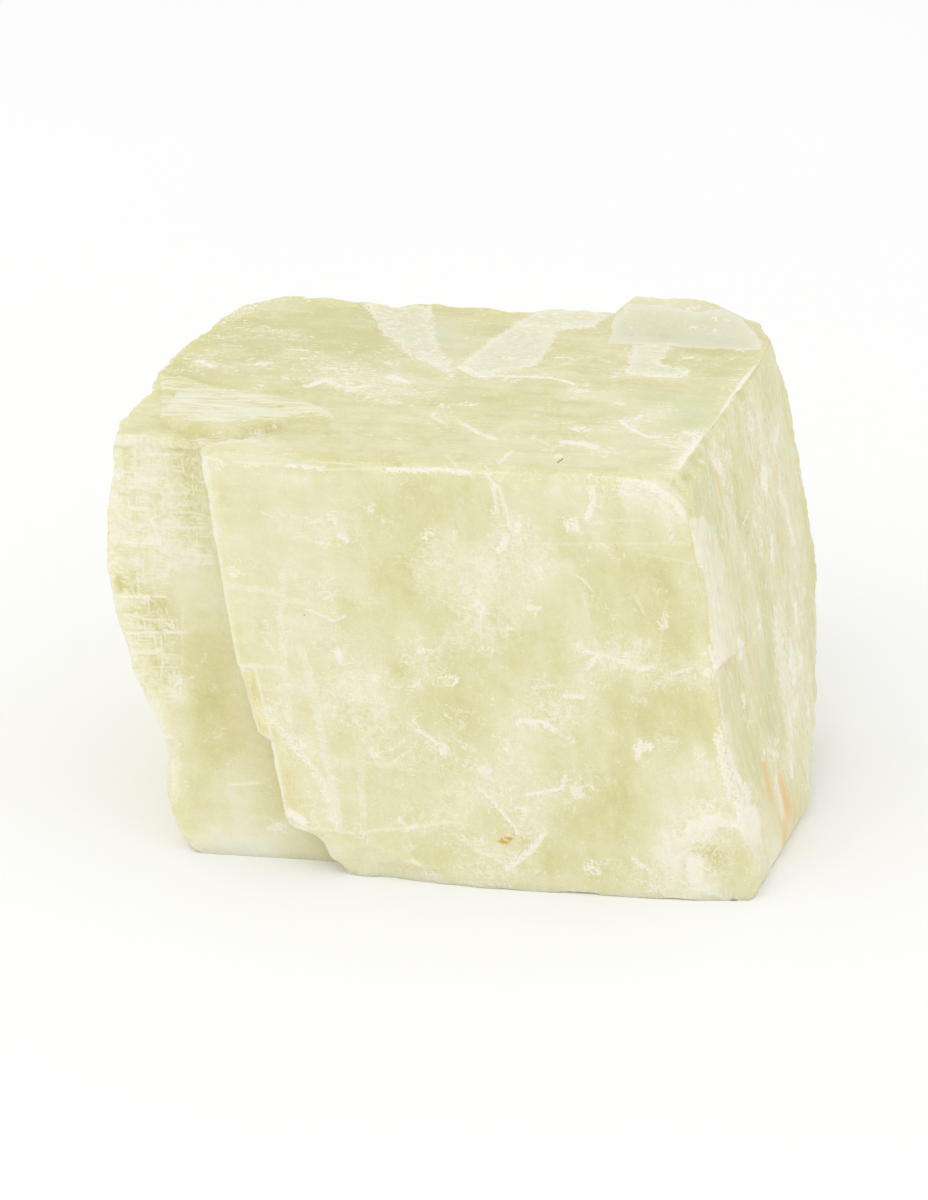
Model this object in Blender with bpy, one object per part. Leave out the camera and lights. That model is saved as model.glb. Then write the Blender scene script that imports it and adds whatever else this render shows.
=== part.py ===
"""A hand-size block of milky calcite, broken along its cleavage, at rest on its flat base.

Every face follows one of three cleavage directions, so the block is worked out in
crystal directions and in millimetres. The first number of a point runs along the block
to the left, the second runs down, and the third runs back. The start of all three is
the blunt corner at the right end of the top front edge.
"""

from math import cos, radians, sqrt

import bmesh
import bpy
from mathutils import Vector

MM = 0.001
CLEAVAGE_ANGLE = radians(101.92)  # between any two cleavage edges at the blunt corner
HEIGHT = 46.9  # down the cleavage, so the block stands 44 mm high
ALONG, DOWN, BACK = 0, 1, 2

# Seen from above: along, back. The front lies at 0, and the sides run out of the block.
PLAN = [(-6, 0), (72, 0), (72, 30), (63.4, 36), (62.8, 45.2), (61.8, 48.5), (60.2, 49.6),
        (58.4, 50.6), (53, 50.5), (47.3, 49.5), (42, 50.9), (34.8, 50.9), (32.7, 50),
        (30.6, 49.9), (27.6, 51.4), (23.7, 51.2), (20, 51.6), (9, 51.2), (4.2, 50.5),
        (2, 49.5), (-6, 49.5)]

# Seen from the front: along, down. The top and the base run out of the block.
FRONT = [(0.1, -6), (0, 2), (-0.35, 12), (-0.6, 31), (-1.2, 37), (-1.7, 44), (-1.1, 46.4),
         (-0.9, 54), (62.2, 54), (62.3, 46), (62.8, 43.6), (63, 39), (62.8, 37.4),
         (62.2, 35.6), (62.4, 34.2), (63.3, 31.2), (64.3, 27.4), (65, 23.6), (65.4, 17.6),
         (65.5, 13.5), (64.9, 9), (64.2, 5.2), (63.6, 2.4), (63.6, -6)]

# Planes that break off a corner or an edge, each through three points.
CHIPS = [
    ((1.3, 8, 49.5), (0.95, 28, 49.5), (-0.5, 29, 33)),  # back of the right face
    ((-0.6, 31, 44.4), (-1.3, 40, 35.4), (14, 42, 52)),  # low back right corner
    ((-1.3, 39.6, 35), (-1.65, 45.2, 24.6), (14, 46.9, 44)),  # and its lower half
    ((0.2, 0, 43.2), (3.4, 0, 50), (1.3, 7.5, 49.5)),  # top back right corner
    ((61.6, 0, 5), (64.3, 4.6, 5), (63.6, 0, 12)),  # top left corner of the front
    ((64.4, 46.9, 32), (50, 46.9, 51.5), (64.5, 33, 51.5)),  # low back left corner
    ((60.4, 46.9, 4), (62.8, 44, 4), (63.6, 46.9, 8)),  # low left corner of the front
    ((0, 0, 0.4), (60, 0, 0.4), (30, 0.5, 0)),  # top front edge
    ((0.45, 0, 0), (0.5, 0, 40), (-0.1, 0.6, 20)),  # top right edge
    ((-0.1, 10, 0), (-0.35, 30, 0), (-1.1, 20, 0.7)),  # front right upright edge
    ((3.4, 0, 0), (0, 0, 1.4), (0, 3.8, 0)),  # blunt corner
    ((5, 46.9, 0), (1, 41, 0), (-1.7, 44.6, 1.2)),  # low right corner of the front
    ((46, 42, 0), (27, 46.7, 0), (45, 46.9, 1.7)),  # low left corner of the front layer
    ((0, 46.75, 0), (60, 46.75, 0), (30, 46.9, 0.2)),  # front edge of the base
    ((20, 46.1, 51.4), (50, 46.1, 50.8), (35, 46.9, 50)),  # back edge of the base
    ((-1.65, 45.2, 10), (-1.65, 45.2, 30), (-0.5, 46.9, 20)),  # right edge of the base
    ((63, 46.2, 10), (63, 46.2, 40), (61.6, 46.9, 25)),  # left edge of the base
]

# The front layer ends in this ragged edge. Left of it the layer is missing.
LAYER_TOP = 51.3
LAYER_FOOT = [(51.4, 22.9), (51.0, 23.9), (50.2, 31), (48.9, 31.6), (48.8, 40), (48.2, 41.4),
              (46.4, 41.6), (45.2, 43), (44.8, 44.8), (43.8, 45.6), (43.2, 52), (80, 52),
              (80, 22.9)]
LAYER_DEPTH = 4.6

# Down, back: the stairs behind the missing layer, seen from the left.
STAIRS = [(-6, -6), (-6, 7.4), (2.2, 7.3), (2.3, 6.9), (5.1, 6.8), (5.2, 6.4), (7.6, 6.3),
          (7.7, 5.9), (9.3, 5.8), (9.4, 5.5), (11.8, 5.4), (11.9, 5.1), (14.6, 5.0),
          (14.7, 4.6), (24.2, 4.6), (24.2, -6)]

# Ledges of the top: outline along and back, and how deep they lie.
LEDGES = [
    ([(80, 19.8), (60.6, 19.4), (59.4, 10.2), (55.4, 7.6), (49.8, 6.9), (47.6, 8.8),
      (45.4, 12.4), (40.8, 11.6), (39.6, 7.2), (47, 5.4), (52, 2.4), (52, -9), (80, -9)], 1.0),
    ([(80, 21.8), (61, 21), (53.3, 17.6), (46.6, 15.9), (42.6, 12.9), (46, 11), (80, 9)], 0.5),
    ([(80, 24), (62, 23), (52, 20.4), (43, 17.9), (38.2, 15.2), (42, 12), (80, 9)], 0.25),
    ([(46.4, 60), (45.8, 42.6), (41.3, 36.4), (38.6, 33.6), (33.2, 28.3), (32.4, 31.1),
      (31.6, 36.3), (30.9, 41.6), (29.2, 47.9), (28.4, 60)], 0.35),
    ([(-9, 27.6), (11.3, 27.7), (16, 29.2), (19.4, 31.4), (15, 40.8), (10.6, 41.8),
      (5, 41.4), (-9, 41.2)], 0.25),
]

# The thick flake left standing at the back right of the top: along, back, at its foot
# and at its rim.
FLAKE_FOOT = [(20, 44.4), (14.7, 44.8), (8.8, 44), (1.4, 42.2), (1.6, 45.4), (3.4, 49.2),
              (9, 50.9), (20, 51.2)]
FLAKE_RIM = [(17.8, 46.2), (14.4, 46), (9.4, 46.4), (5.6, 46.3), (5.4, 47.2), (6.8, 48.8),
             (10.4, 50.5), (17.6, 50.5)]
FLAKE_HEIGHT = 2.2

# The plate left standing at the front of the right face: down, back.
PLATE = [(1.2, 0.1), (1.0, 9.8), (6.3, 14.4), (10.1, 15.1), (23, 12.4), (22.2, 6.4),
         (20.9, 0.1)]
PLATE_LEVEL = -0.95

# Stair-like breaks of the back: along and back, and the heights between which they run.
BACK_BREAKS = [
    ([(44, 60), (43.6, 47.2), (56.4, 46.6), (57, 60)], 17, 60),
    ([(52, 60), (51.6, 43.4), (70, 42.6), (70, 60)], 31, 60),
    ([(21, 60), (20.4, 48.8), (31.4, 49.1), (32, 60)], 27.5, 60),
]

# Breaks of the left end: down and back, and how far in they reach.
END_BREAKS = [
    ([(24, 21), (33.6, 20.2), (60, 19), (60, 60), (25.4, 60)], 62.6),
    ([(3, 28.8), (13.2, 28.4), (14, 60), (3.6, 60)], 62.2),
]


def cleavage_directions():
    """The three unit vectors along the cleavage edges, any two at the cleavage angle."""
    k = cos(CLEAVAGE_ANGLE)
    side = sqrt(1 - k * k)
    down_y = k * (1 - k) / side
    return (
        Vector((-1, 0, 0)),
        Vector((-k, down_y, -sqrt(1 - k * k - down_y * down_y))),
        Vector((-k, side, 0)),
    )


DIRECTIONS = cleavage_directions()


def at(along, down, back):
    """The place of a point given in crystal directions, in metres."""
    place = DIRECTIONS[ALONG] * along + DIRECTIONS[DOWN] * down + DIRECTIONS[BACK] * back
    return place * MM


def spot(across, outline_point, level):
    """A point of an outline, set at a level of the direction across it."""
    numbers = list(outline_point)
    numbers.insert(across, level)
    return at(*numbers)


def solid(name, bm):
    """An object that holds this closed mesh, with its faces outward."""
    bmesh.ops.recalc_face_normals(bm, faces=bm.faces)
    mesh = bpy.data.meshes.new(name)
    bm.to_mesh(mesh)
    bm.free()
    made = bpy.data.objects.new(name, mesh)
    bpy.context.collection.objects.link(made)
    return made


def prism(name, across, outline, start, end):
    """A solid with this outline, drawn out along the direction across it."""
    bm = bmesh.new()
    cap = bm.faces.new([bm.verts.new(spot(across, point, start)) for point in outline])
    drawn = bmesh.ops.extrude_face_region(bm, geom=[cap])
    moved = [part for part in drawn["geom"] if isinstance(part, bmesh.types.BMVert)]
    bmesh.ops.translate(bm, verts=moved, vec=DIRECTIONS[across] * (end - start) * MM)
    return solid(name, bm)


def tapered(name, across, foot, rim, start, end):
    """A solid that narrows from its foot outline to its rim outline."""
    bm = bmesh.new()
    low = [bm.verts.new(spot(across, point, start)) for point in foot]
    high = [bm.verts.new(spot(across, point, end)) for point in rim]
    bm.faces.new(low)
    bm.faces.new(high)
    for i in range(len(low)):
        j = (i + 1) % len(low)
        bm.faces.new((low[i], low[j], high[j], high[i]))
    return solid(name, bm)


def combine(body, tool, operation):
    """Joins, cuts or trims the body with the tool, and drops the tool."""
    step = body.modifiers.new(tool.name, "BOOLEAN")
    step.operation = operation
    step.solver = "EXACT"
    step.object = tool
    graph = bpy.context.evaluated_depsgraph_get()
    made = bpy.data.meshes.new_from_object(body.evaluated_get(graph))
    body.modifiers.clear()
    body.data = made
    bpy.data.objects.remove(tool)


def chip(body, points):
    """Breaks the body off along the plane through three points, and closes the break."""
    first, second, third = (at(*point) for point in points)
    bm = bmesh.new()
    bm.from_mesh(body.data)
    middle = at(30, HEIGHT / 2, 25)
    outward = (second - first).cross(third - first).normalized()
    if outward.dot(middle - first) > 0:
        outward.negate()
    cut = bmesh.ops.bisect_plane(
        bm, geom=bm.verts[:] + bm.edges[:] + bm.faces[:],
        plane_co=first, plane_no=outward, clear_outer=True,
    )
    rim = [part for part in cut["geom_cut"] if isinstance(part, bmesh.types.BMEdge)]
    bmesh.ops.holes_fill(bm, edges=rim)
    bm.to_mesh(body.data)
    bm.free()


def build_block():
    """The block with its plate and its broken corners, before anything is cut out."""
    block = prism("calcite_block", DOWN, PLAN, 0, HEIGHT)
    combine(block, prism("front_view", BACK, FRONT, -6, 70), "INTERSECT")
    combine(block, prism("plate", ALONG, PLATE, 1.5, PLATE_LEVEL), "UNION")
    for points in CHIPS:
        chip(block, points)
    return block


def cut_faces(block):
    """Cuts the missing front layer, the ledges of the top and the breaks out of the block."""
    combine(block, prism("stairs", ALONG, STAIRS, LAYER_TOP, 80), "DIFFERENCE")
    combine(block, prism("layer", BACK, LAYER_FOOT, -6, LAYER_DEPTH), "DIFFERENCE")
    for number, (outline, depth) in enumerate(LEDGES):
        combine(block, prism(f"ledge_{number}", DOWN, outline, -6, depth), "DIFFERENCE")
    for number, (outline, start, end) in enumerate(BACK_BREAKS):
        combine(block, prism(f"back_{number}", DOWN, outline, start, end), "DIFFERENCE")
    for number, (outline, depth) in enumerate(END_BREAKS):
        combine(block, prism(f"end_{number}", ALONG, outline, depth, 80), "DIFFERENCE")


def add_flake(block):
    """Joins the thick flake on the top to the block."""
    flake = tapered("flake", DOWN, FLAKE_FOOT, FLAKE_RIM, 0.9, -FLAKE_HEIGHT)
    combine(block, flake, "UNION")


def settle(block):
    """Sets the bottom middle of the block's box at the origin."""
    corners = [vertex.co for vertex in block.data.vertices]
    low = Vector([min(corner[i] for corner in corners) for i in range(3)])
    high = Vector([max(corner[i] for corner in corners) for i in range(3)])
    bm = bmesh.new()
    bm.from_mesh(block.data)
    shift = Vector((-(low.x + high.x) / 2, -(low.y + high.y) / 2, -low.z))
    bmesh.ops.translate(bm, verts=bm.verts, vec=shift)
    bm.to_mesh(block.data)
    bm.free()


def calcite():
    """Milky yellowish green stone, a little glossy on its cleavage faces."""
    material = bpy.data.materials.new("calcite")
    material.use_nodes = True
    shader = material.node_tree.nodes["Principled BSDF"]
    shader.inputs["Base Color"].default_value = (0.76, 0.72, 0.46, 1)
    shader.inputs["Roughness"].default_value = 0.35
    shader.inputs["IOR"].default_value = 1.6
    material.diffuse_color = (0.76, 0.72, 0.46, 1)
    return material


def main():
    for old in list(bpy.data.objects):
        bpy.data.objects.remove(old)
    block = build_block()
    cut_faces(block)
    add_flake(block)
    settle(block)
    block.data.materials.clear()
    block.data.materials.append(calcite())


main()
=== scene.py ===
"""A hand-size block of milky calcite, dressed: ragged cleavage faces and their marks.

The block is worked out in crystal directions and in millimetres, as its source is: the
first number of a place runs along the block to the left, the second runs down and the
third runs back. The start of all three is the blunt corner at the right end of the top
front edge.
"""

import bpy
import numpy as np
from mathutils import Matrix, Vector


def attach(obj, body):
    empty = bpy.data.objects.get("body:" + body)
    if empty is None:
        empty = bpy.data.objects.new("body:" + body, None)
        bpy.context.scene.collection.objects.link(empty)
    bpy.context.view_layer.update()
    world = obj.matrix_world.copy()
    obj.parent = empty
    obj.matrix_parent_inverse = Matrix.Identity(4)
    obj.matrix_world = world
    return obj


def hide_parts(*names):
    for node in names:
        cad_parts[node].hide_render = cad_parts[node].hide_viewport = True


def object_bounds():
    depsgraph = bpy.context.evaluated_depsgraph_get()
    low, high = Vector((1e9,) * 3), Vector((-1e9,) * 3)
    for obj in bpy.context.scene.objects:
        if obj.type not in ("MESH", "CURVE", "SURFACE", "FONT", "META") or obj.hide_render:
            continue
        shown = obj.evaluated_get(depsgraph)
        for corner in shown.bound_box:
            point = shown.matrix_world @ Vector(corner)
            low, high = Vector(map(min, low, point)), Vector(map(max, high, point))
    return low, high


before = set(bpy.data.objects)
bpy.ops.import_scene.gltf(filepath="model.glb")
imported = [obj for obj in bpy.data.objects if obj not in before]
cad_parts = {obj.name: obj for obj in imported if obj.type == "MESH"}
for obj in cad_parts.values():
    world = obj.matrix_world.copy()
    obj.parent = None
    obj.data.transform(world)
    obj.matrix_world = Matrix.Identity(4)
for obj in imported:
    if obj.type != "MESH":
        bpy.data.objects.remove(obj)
CAD_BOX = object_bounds()

# Sizes and shape

MM = 0.001
CORNER = np.array([22.894, -19.290, 44.307])  # the blunt corner, in millimetres
K = np.cos(np.radians(101.92))  # any two cleavage edges make this angle
SIDE = np.sqrt(1 - K * K)
DOWN_Y = K * (1 - K) / SIDE
DIRECTIONS = np.array([
    [-1.0, 0.0, 0.0],
    [-K, DOWN_Y, -np.sqrt(1 - K * K - DOWN_Y * DOWN_Y)],
    [-K, SIDE, 0.0],
])
TALL = 46.9

# The camera of the photograph, slightly above and slightly turned: its matrix in metres,
# its lens and sensor in millimetres, and the photograph's size in pixels.
CAMERA = np.array([
    [0.99585333, -0.05805878, 0.07003806, 0.04485096],
    [0.08712588, 0.38714417, -0.91789350, -0.60092678],
    [0.02617695, 0.92018942, 0.39059723, 0.27621217],
    [0, 0, 0, 1]])
LENS, SENSOR, PICTURE = 175.5, 36.0, (928, 1200)
FOCAL = LENS / SENSOR * PICTURE[1]

# The right and the left end, seen from the front: down, along.
RIGHT_END = [(0, 0.05), (2, 0), (12, -0.35), (31, -0.6), (37, -1.2), (44, -1.7), (46.4, -1.1),
             (47, -1.05)]
LEFT_END = [(0, 63.6), (2.4, 63.6), (5.2, 64.2), (9, 64.9), (13.5, 65.5), (17.6, 65.4),
            (23.6, 65), (27.4, 64.3), (31.2, 63.3), (34.2, 62.4), (35.6, 62.2), (37.4, 62.8),
            (39, 63), (43.6, 62.8), (46, 62.3), (47, 62.3)]
# The left end, seen from above: back, along.
LEFT_PLAN = [(0, 90), (30, 72), (36, 63.4), (45.2, 62.8), (48.5, 61.8), (50, 60.5)]
# The back, seen from above: along, back.
BACK_PLAN = [(-2, 49.5), (2, 49.5), (4.2, 50.5), (9, 51.2), (20, 51.6), (23.7, 51.2),
             (27.6, 51.4), (30.6, 49.9), (32.7, 50), (34.8, 50.9), (42, 50.9), (47.3, 49.5),
             (53, 50.5), (58.4, 50.6), (60.2, 49.6), (61.8, 48.5), (63, 47.5)]
# The ragged left end of the front layer: down, along. And how deep the layer lay there.
LAYER_END = [(0, 51.35), (22.9, 51.35), (23.9, 51.0), (31, 50.2), (31.5, 48.95), (40, 48.8),
             (41.3, 48.2), (41.7, 46.4), (43, 45.2), (44.8, 44.8), (45.6, 43.8), (47, 43.2)]
LAYER_DEPTH = [(0, 6.6), (1.4, 6.6), (1.5, 6.9), (5.1, 6.8), (5.2, 6.4), (7.6, 6.3),
               (7.7, 5.9), (9.3, 5.8), (9.4, 5.5), (11.8, 5.4), (11.9, 5.1), (14.6, 5.0),
               (14.7, 4.6), (47, 4.6)]
# Ledges of the top: outline along and back, and how deep they lie.
LEDGES = [
    ([(80, 19.8), (60.6, 19.4), (59.4, 10.2), (55.4, 7.6), (49.8, 6.9), (47.6, 8.8),
      (45.4, 12.4), (40.8, 11.6), (39.6, 7.2), (47, 5.4), (52, 2.4), (52, -9), (80, -9)], 1.0),
    ([(80, 21.8), (61, 21), (53.3, 17.6), (46.6, 15.9), (42.6, 12.9), (46, 11), (80, 9)], 0.5),
    ([(80, 24), (62, 23), (52, 20.4), (43, 17.9), (38.2, 15.2), (42, 12), (80, 9)], 0.25),
    ([(46.4, 60), (45.8, 42.6), (41.3, 36.4), (38.6, 33.6), (33.2, 28.3), (32.4, 31.1),
      (31.6, 36.3), (30.9, 41.6), (29.2, 47.9), (28.4, 60)], 0.35),
    ([(-9, 27.6), (11.3, 27.7), (16, 29.2), (19.4, 31.4), (15, 40.8), (10.6, 41.8),
      (5, 41.4), (-9, 41.2)], 0.25),
]
# The thick flake at the back right of the top: its foot and its rim, along and back.
FLAKE_FOOT = [(20, 44.4), (14.7, 44.8), (8.8, 44), (1.4, 42.2), (1.0, 45.4), (3.0, 49.8),
              (9, 52.9), (20, 53.2)]
FLAKE_RIM = [(17.8, 46.2), (14.4, 46), (9.4, 46.4), (5.6, 46.3), (5.4, 47.2), (6.8, 48.8),
             (10.4, 51.5), (17.6, 51.5)]
FLAKE_HEIGHT = 2.15
# The plate at the front of the right face: down and back, and where its face lies.
PLATE = [(1.2, -3), (1.0, 9.8), (6.3, 14.4), (10.1, 15.1), (23, 12.4), (22.2, 6.4), (20.9, -3)]
PLATE_FACE = -0.95
# Breaks of the back: outline along and down, and how far back the stone still reaches.
BACK_BREAKS = [
    ([(43.8, 17), (56.7, 17), (57, 60), (44, 60)], 46.9),
    ([(51.5, 31), (80, 31), (80, 60), (52, 60)], 43.0),
    ([(20.5, 27.5), (31.8, 27.5), (32, 60), (21, 60)], 48.95),
]
# Breaks of the left end: outline down and back, and how far left the stone still reaches.
END_BREAKS = [
    ([(24, 21), (33.6, 20.2), (60, 19), (60, 60), (25.4, 60)], 62.6),
    ([(3, 28.8), (13.2, 28.4), (14, 60), (3.6, 60)], 62.2),
]
# Planes that break off an edge or a corner, each through three places, and how ragged
# the break is, in millimetres.
CHIPS = [
    ((1.3, 8, 49.5), (0.95, 28, 49.5), (-0.5, 29, 33), 0.12),
    ((-0.6, 31, 44.4), (-1.3, 40, 35.4), (14, 42, 52), 0.3),
    ((-1.3, 39.6, 35), (-1.65, 45.2, 24.6), (14, 46.9, 44), 0.3),
    ((0.2, 0, 43.2), (3.4, 0, 50), (1.3, 7.5, 49.5), 0.2),
    ((61.6, 0, 5), (64.3, 4.6, 5), (63.6, 0, 12), 0.2),
    ((64.4, 46.9, 32), (50, 46.9, 51.5), (64.5, 33, 51.5), 0.35),
    ((60.4, 46.9, 4), (62.8, 44, 4), (63.6, 46.9, 8), 0.2),
    ((0, 0, 0.4), (60, 0, 0.4), (30, 0.5, 0), 0.16),
    ((0.45, 0, 0), (0.5, 0, 40), (-0.1, 0.6, 20), 0.16),
    ((-0.1, 10, 0), (-0.35, 30, 0), (-1.1, 20, 0.7), 0.16),
    ((3.4, 0, 0), (0, 0, 1.4), (0, 3.8, 0), 0.15),
    ((5, 46.9, 0), (1, 41, 0), (-1.7, 44.6, 1.2), 0.2),
    ((46, 42, 0), (27, 46.7, 0), (45, 46.9, 1.7), 0.2),
    ((0, 46.75, 0), (60, 46.75, 0), (30, 46.9, 0.2), 0.15),
    ((20, 46.1, 51.4), (50, 46.1, 50.8), (35, 46.9, 50), 0.2),
    ((-1.65, 45.2, 10), (-1.65, 45.2, 30), (-0.5, 46.9, 20), 0.15),
    ((63, 46.2, 10), (63, 46.2, 40), (61.6, 46.9, 25), 0.2),
]
LARGE_CHIPS = [1, 2, 5]  # the lower right corner and the lower back left one
CRUSHED_CHIPS = [3, 4, 7, 8, 9, 10, 12, 13, 15]  # the ones that are bruised white

# The box grid before it is moved: its left and back ends, the lines that close up onto
# the ragged end of the front layer, the run of the wall there, and the share of its
# depth that the lines in front of it close up into.
GRID_LEFT, GRID_BACK = 63.4, 50.6
LAYER_LINES = (51.0, 51.2)
WALL = 0.08
CLOSED_UP = 0.03
SHARP_ANGLE = np.radians(38)  # edges steeper than this are drawn sharp
SKIN_MARGIN = 0.002  # how far the skin stays inside the box of its solid

# For each marked face, the grid direction that is 0 on it and the two that run over it.
FACES = {"front": (2, (0, 1)), "top": (1, (0, 2)), "right": (0, (1, 2))}
SOFT = ("milk", "rust_and_shadow", "blue", "green")

# The planes that marks are sighted on: how many millimetres each lies behind its face,
# the face that shows its marks, and the picture pixels to a millimetre across a mark.
PLANES = {"front": (0, "front", 8.7), "recess": (5, "front", 8.7), "base": (4, "front", 8.7),
          "top": (0, "top", 3.6), "right": (0, "right", 2.6)}
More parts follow.
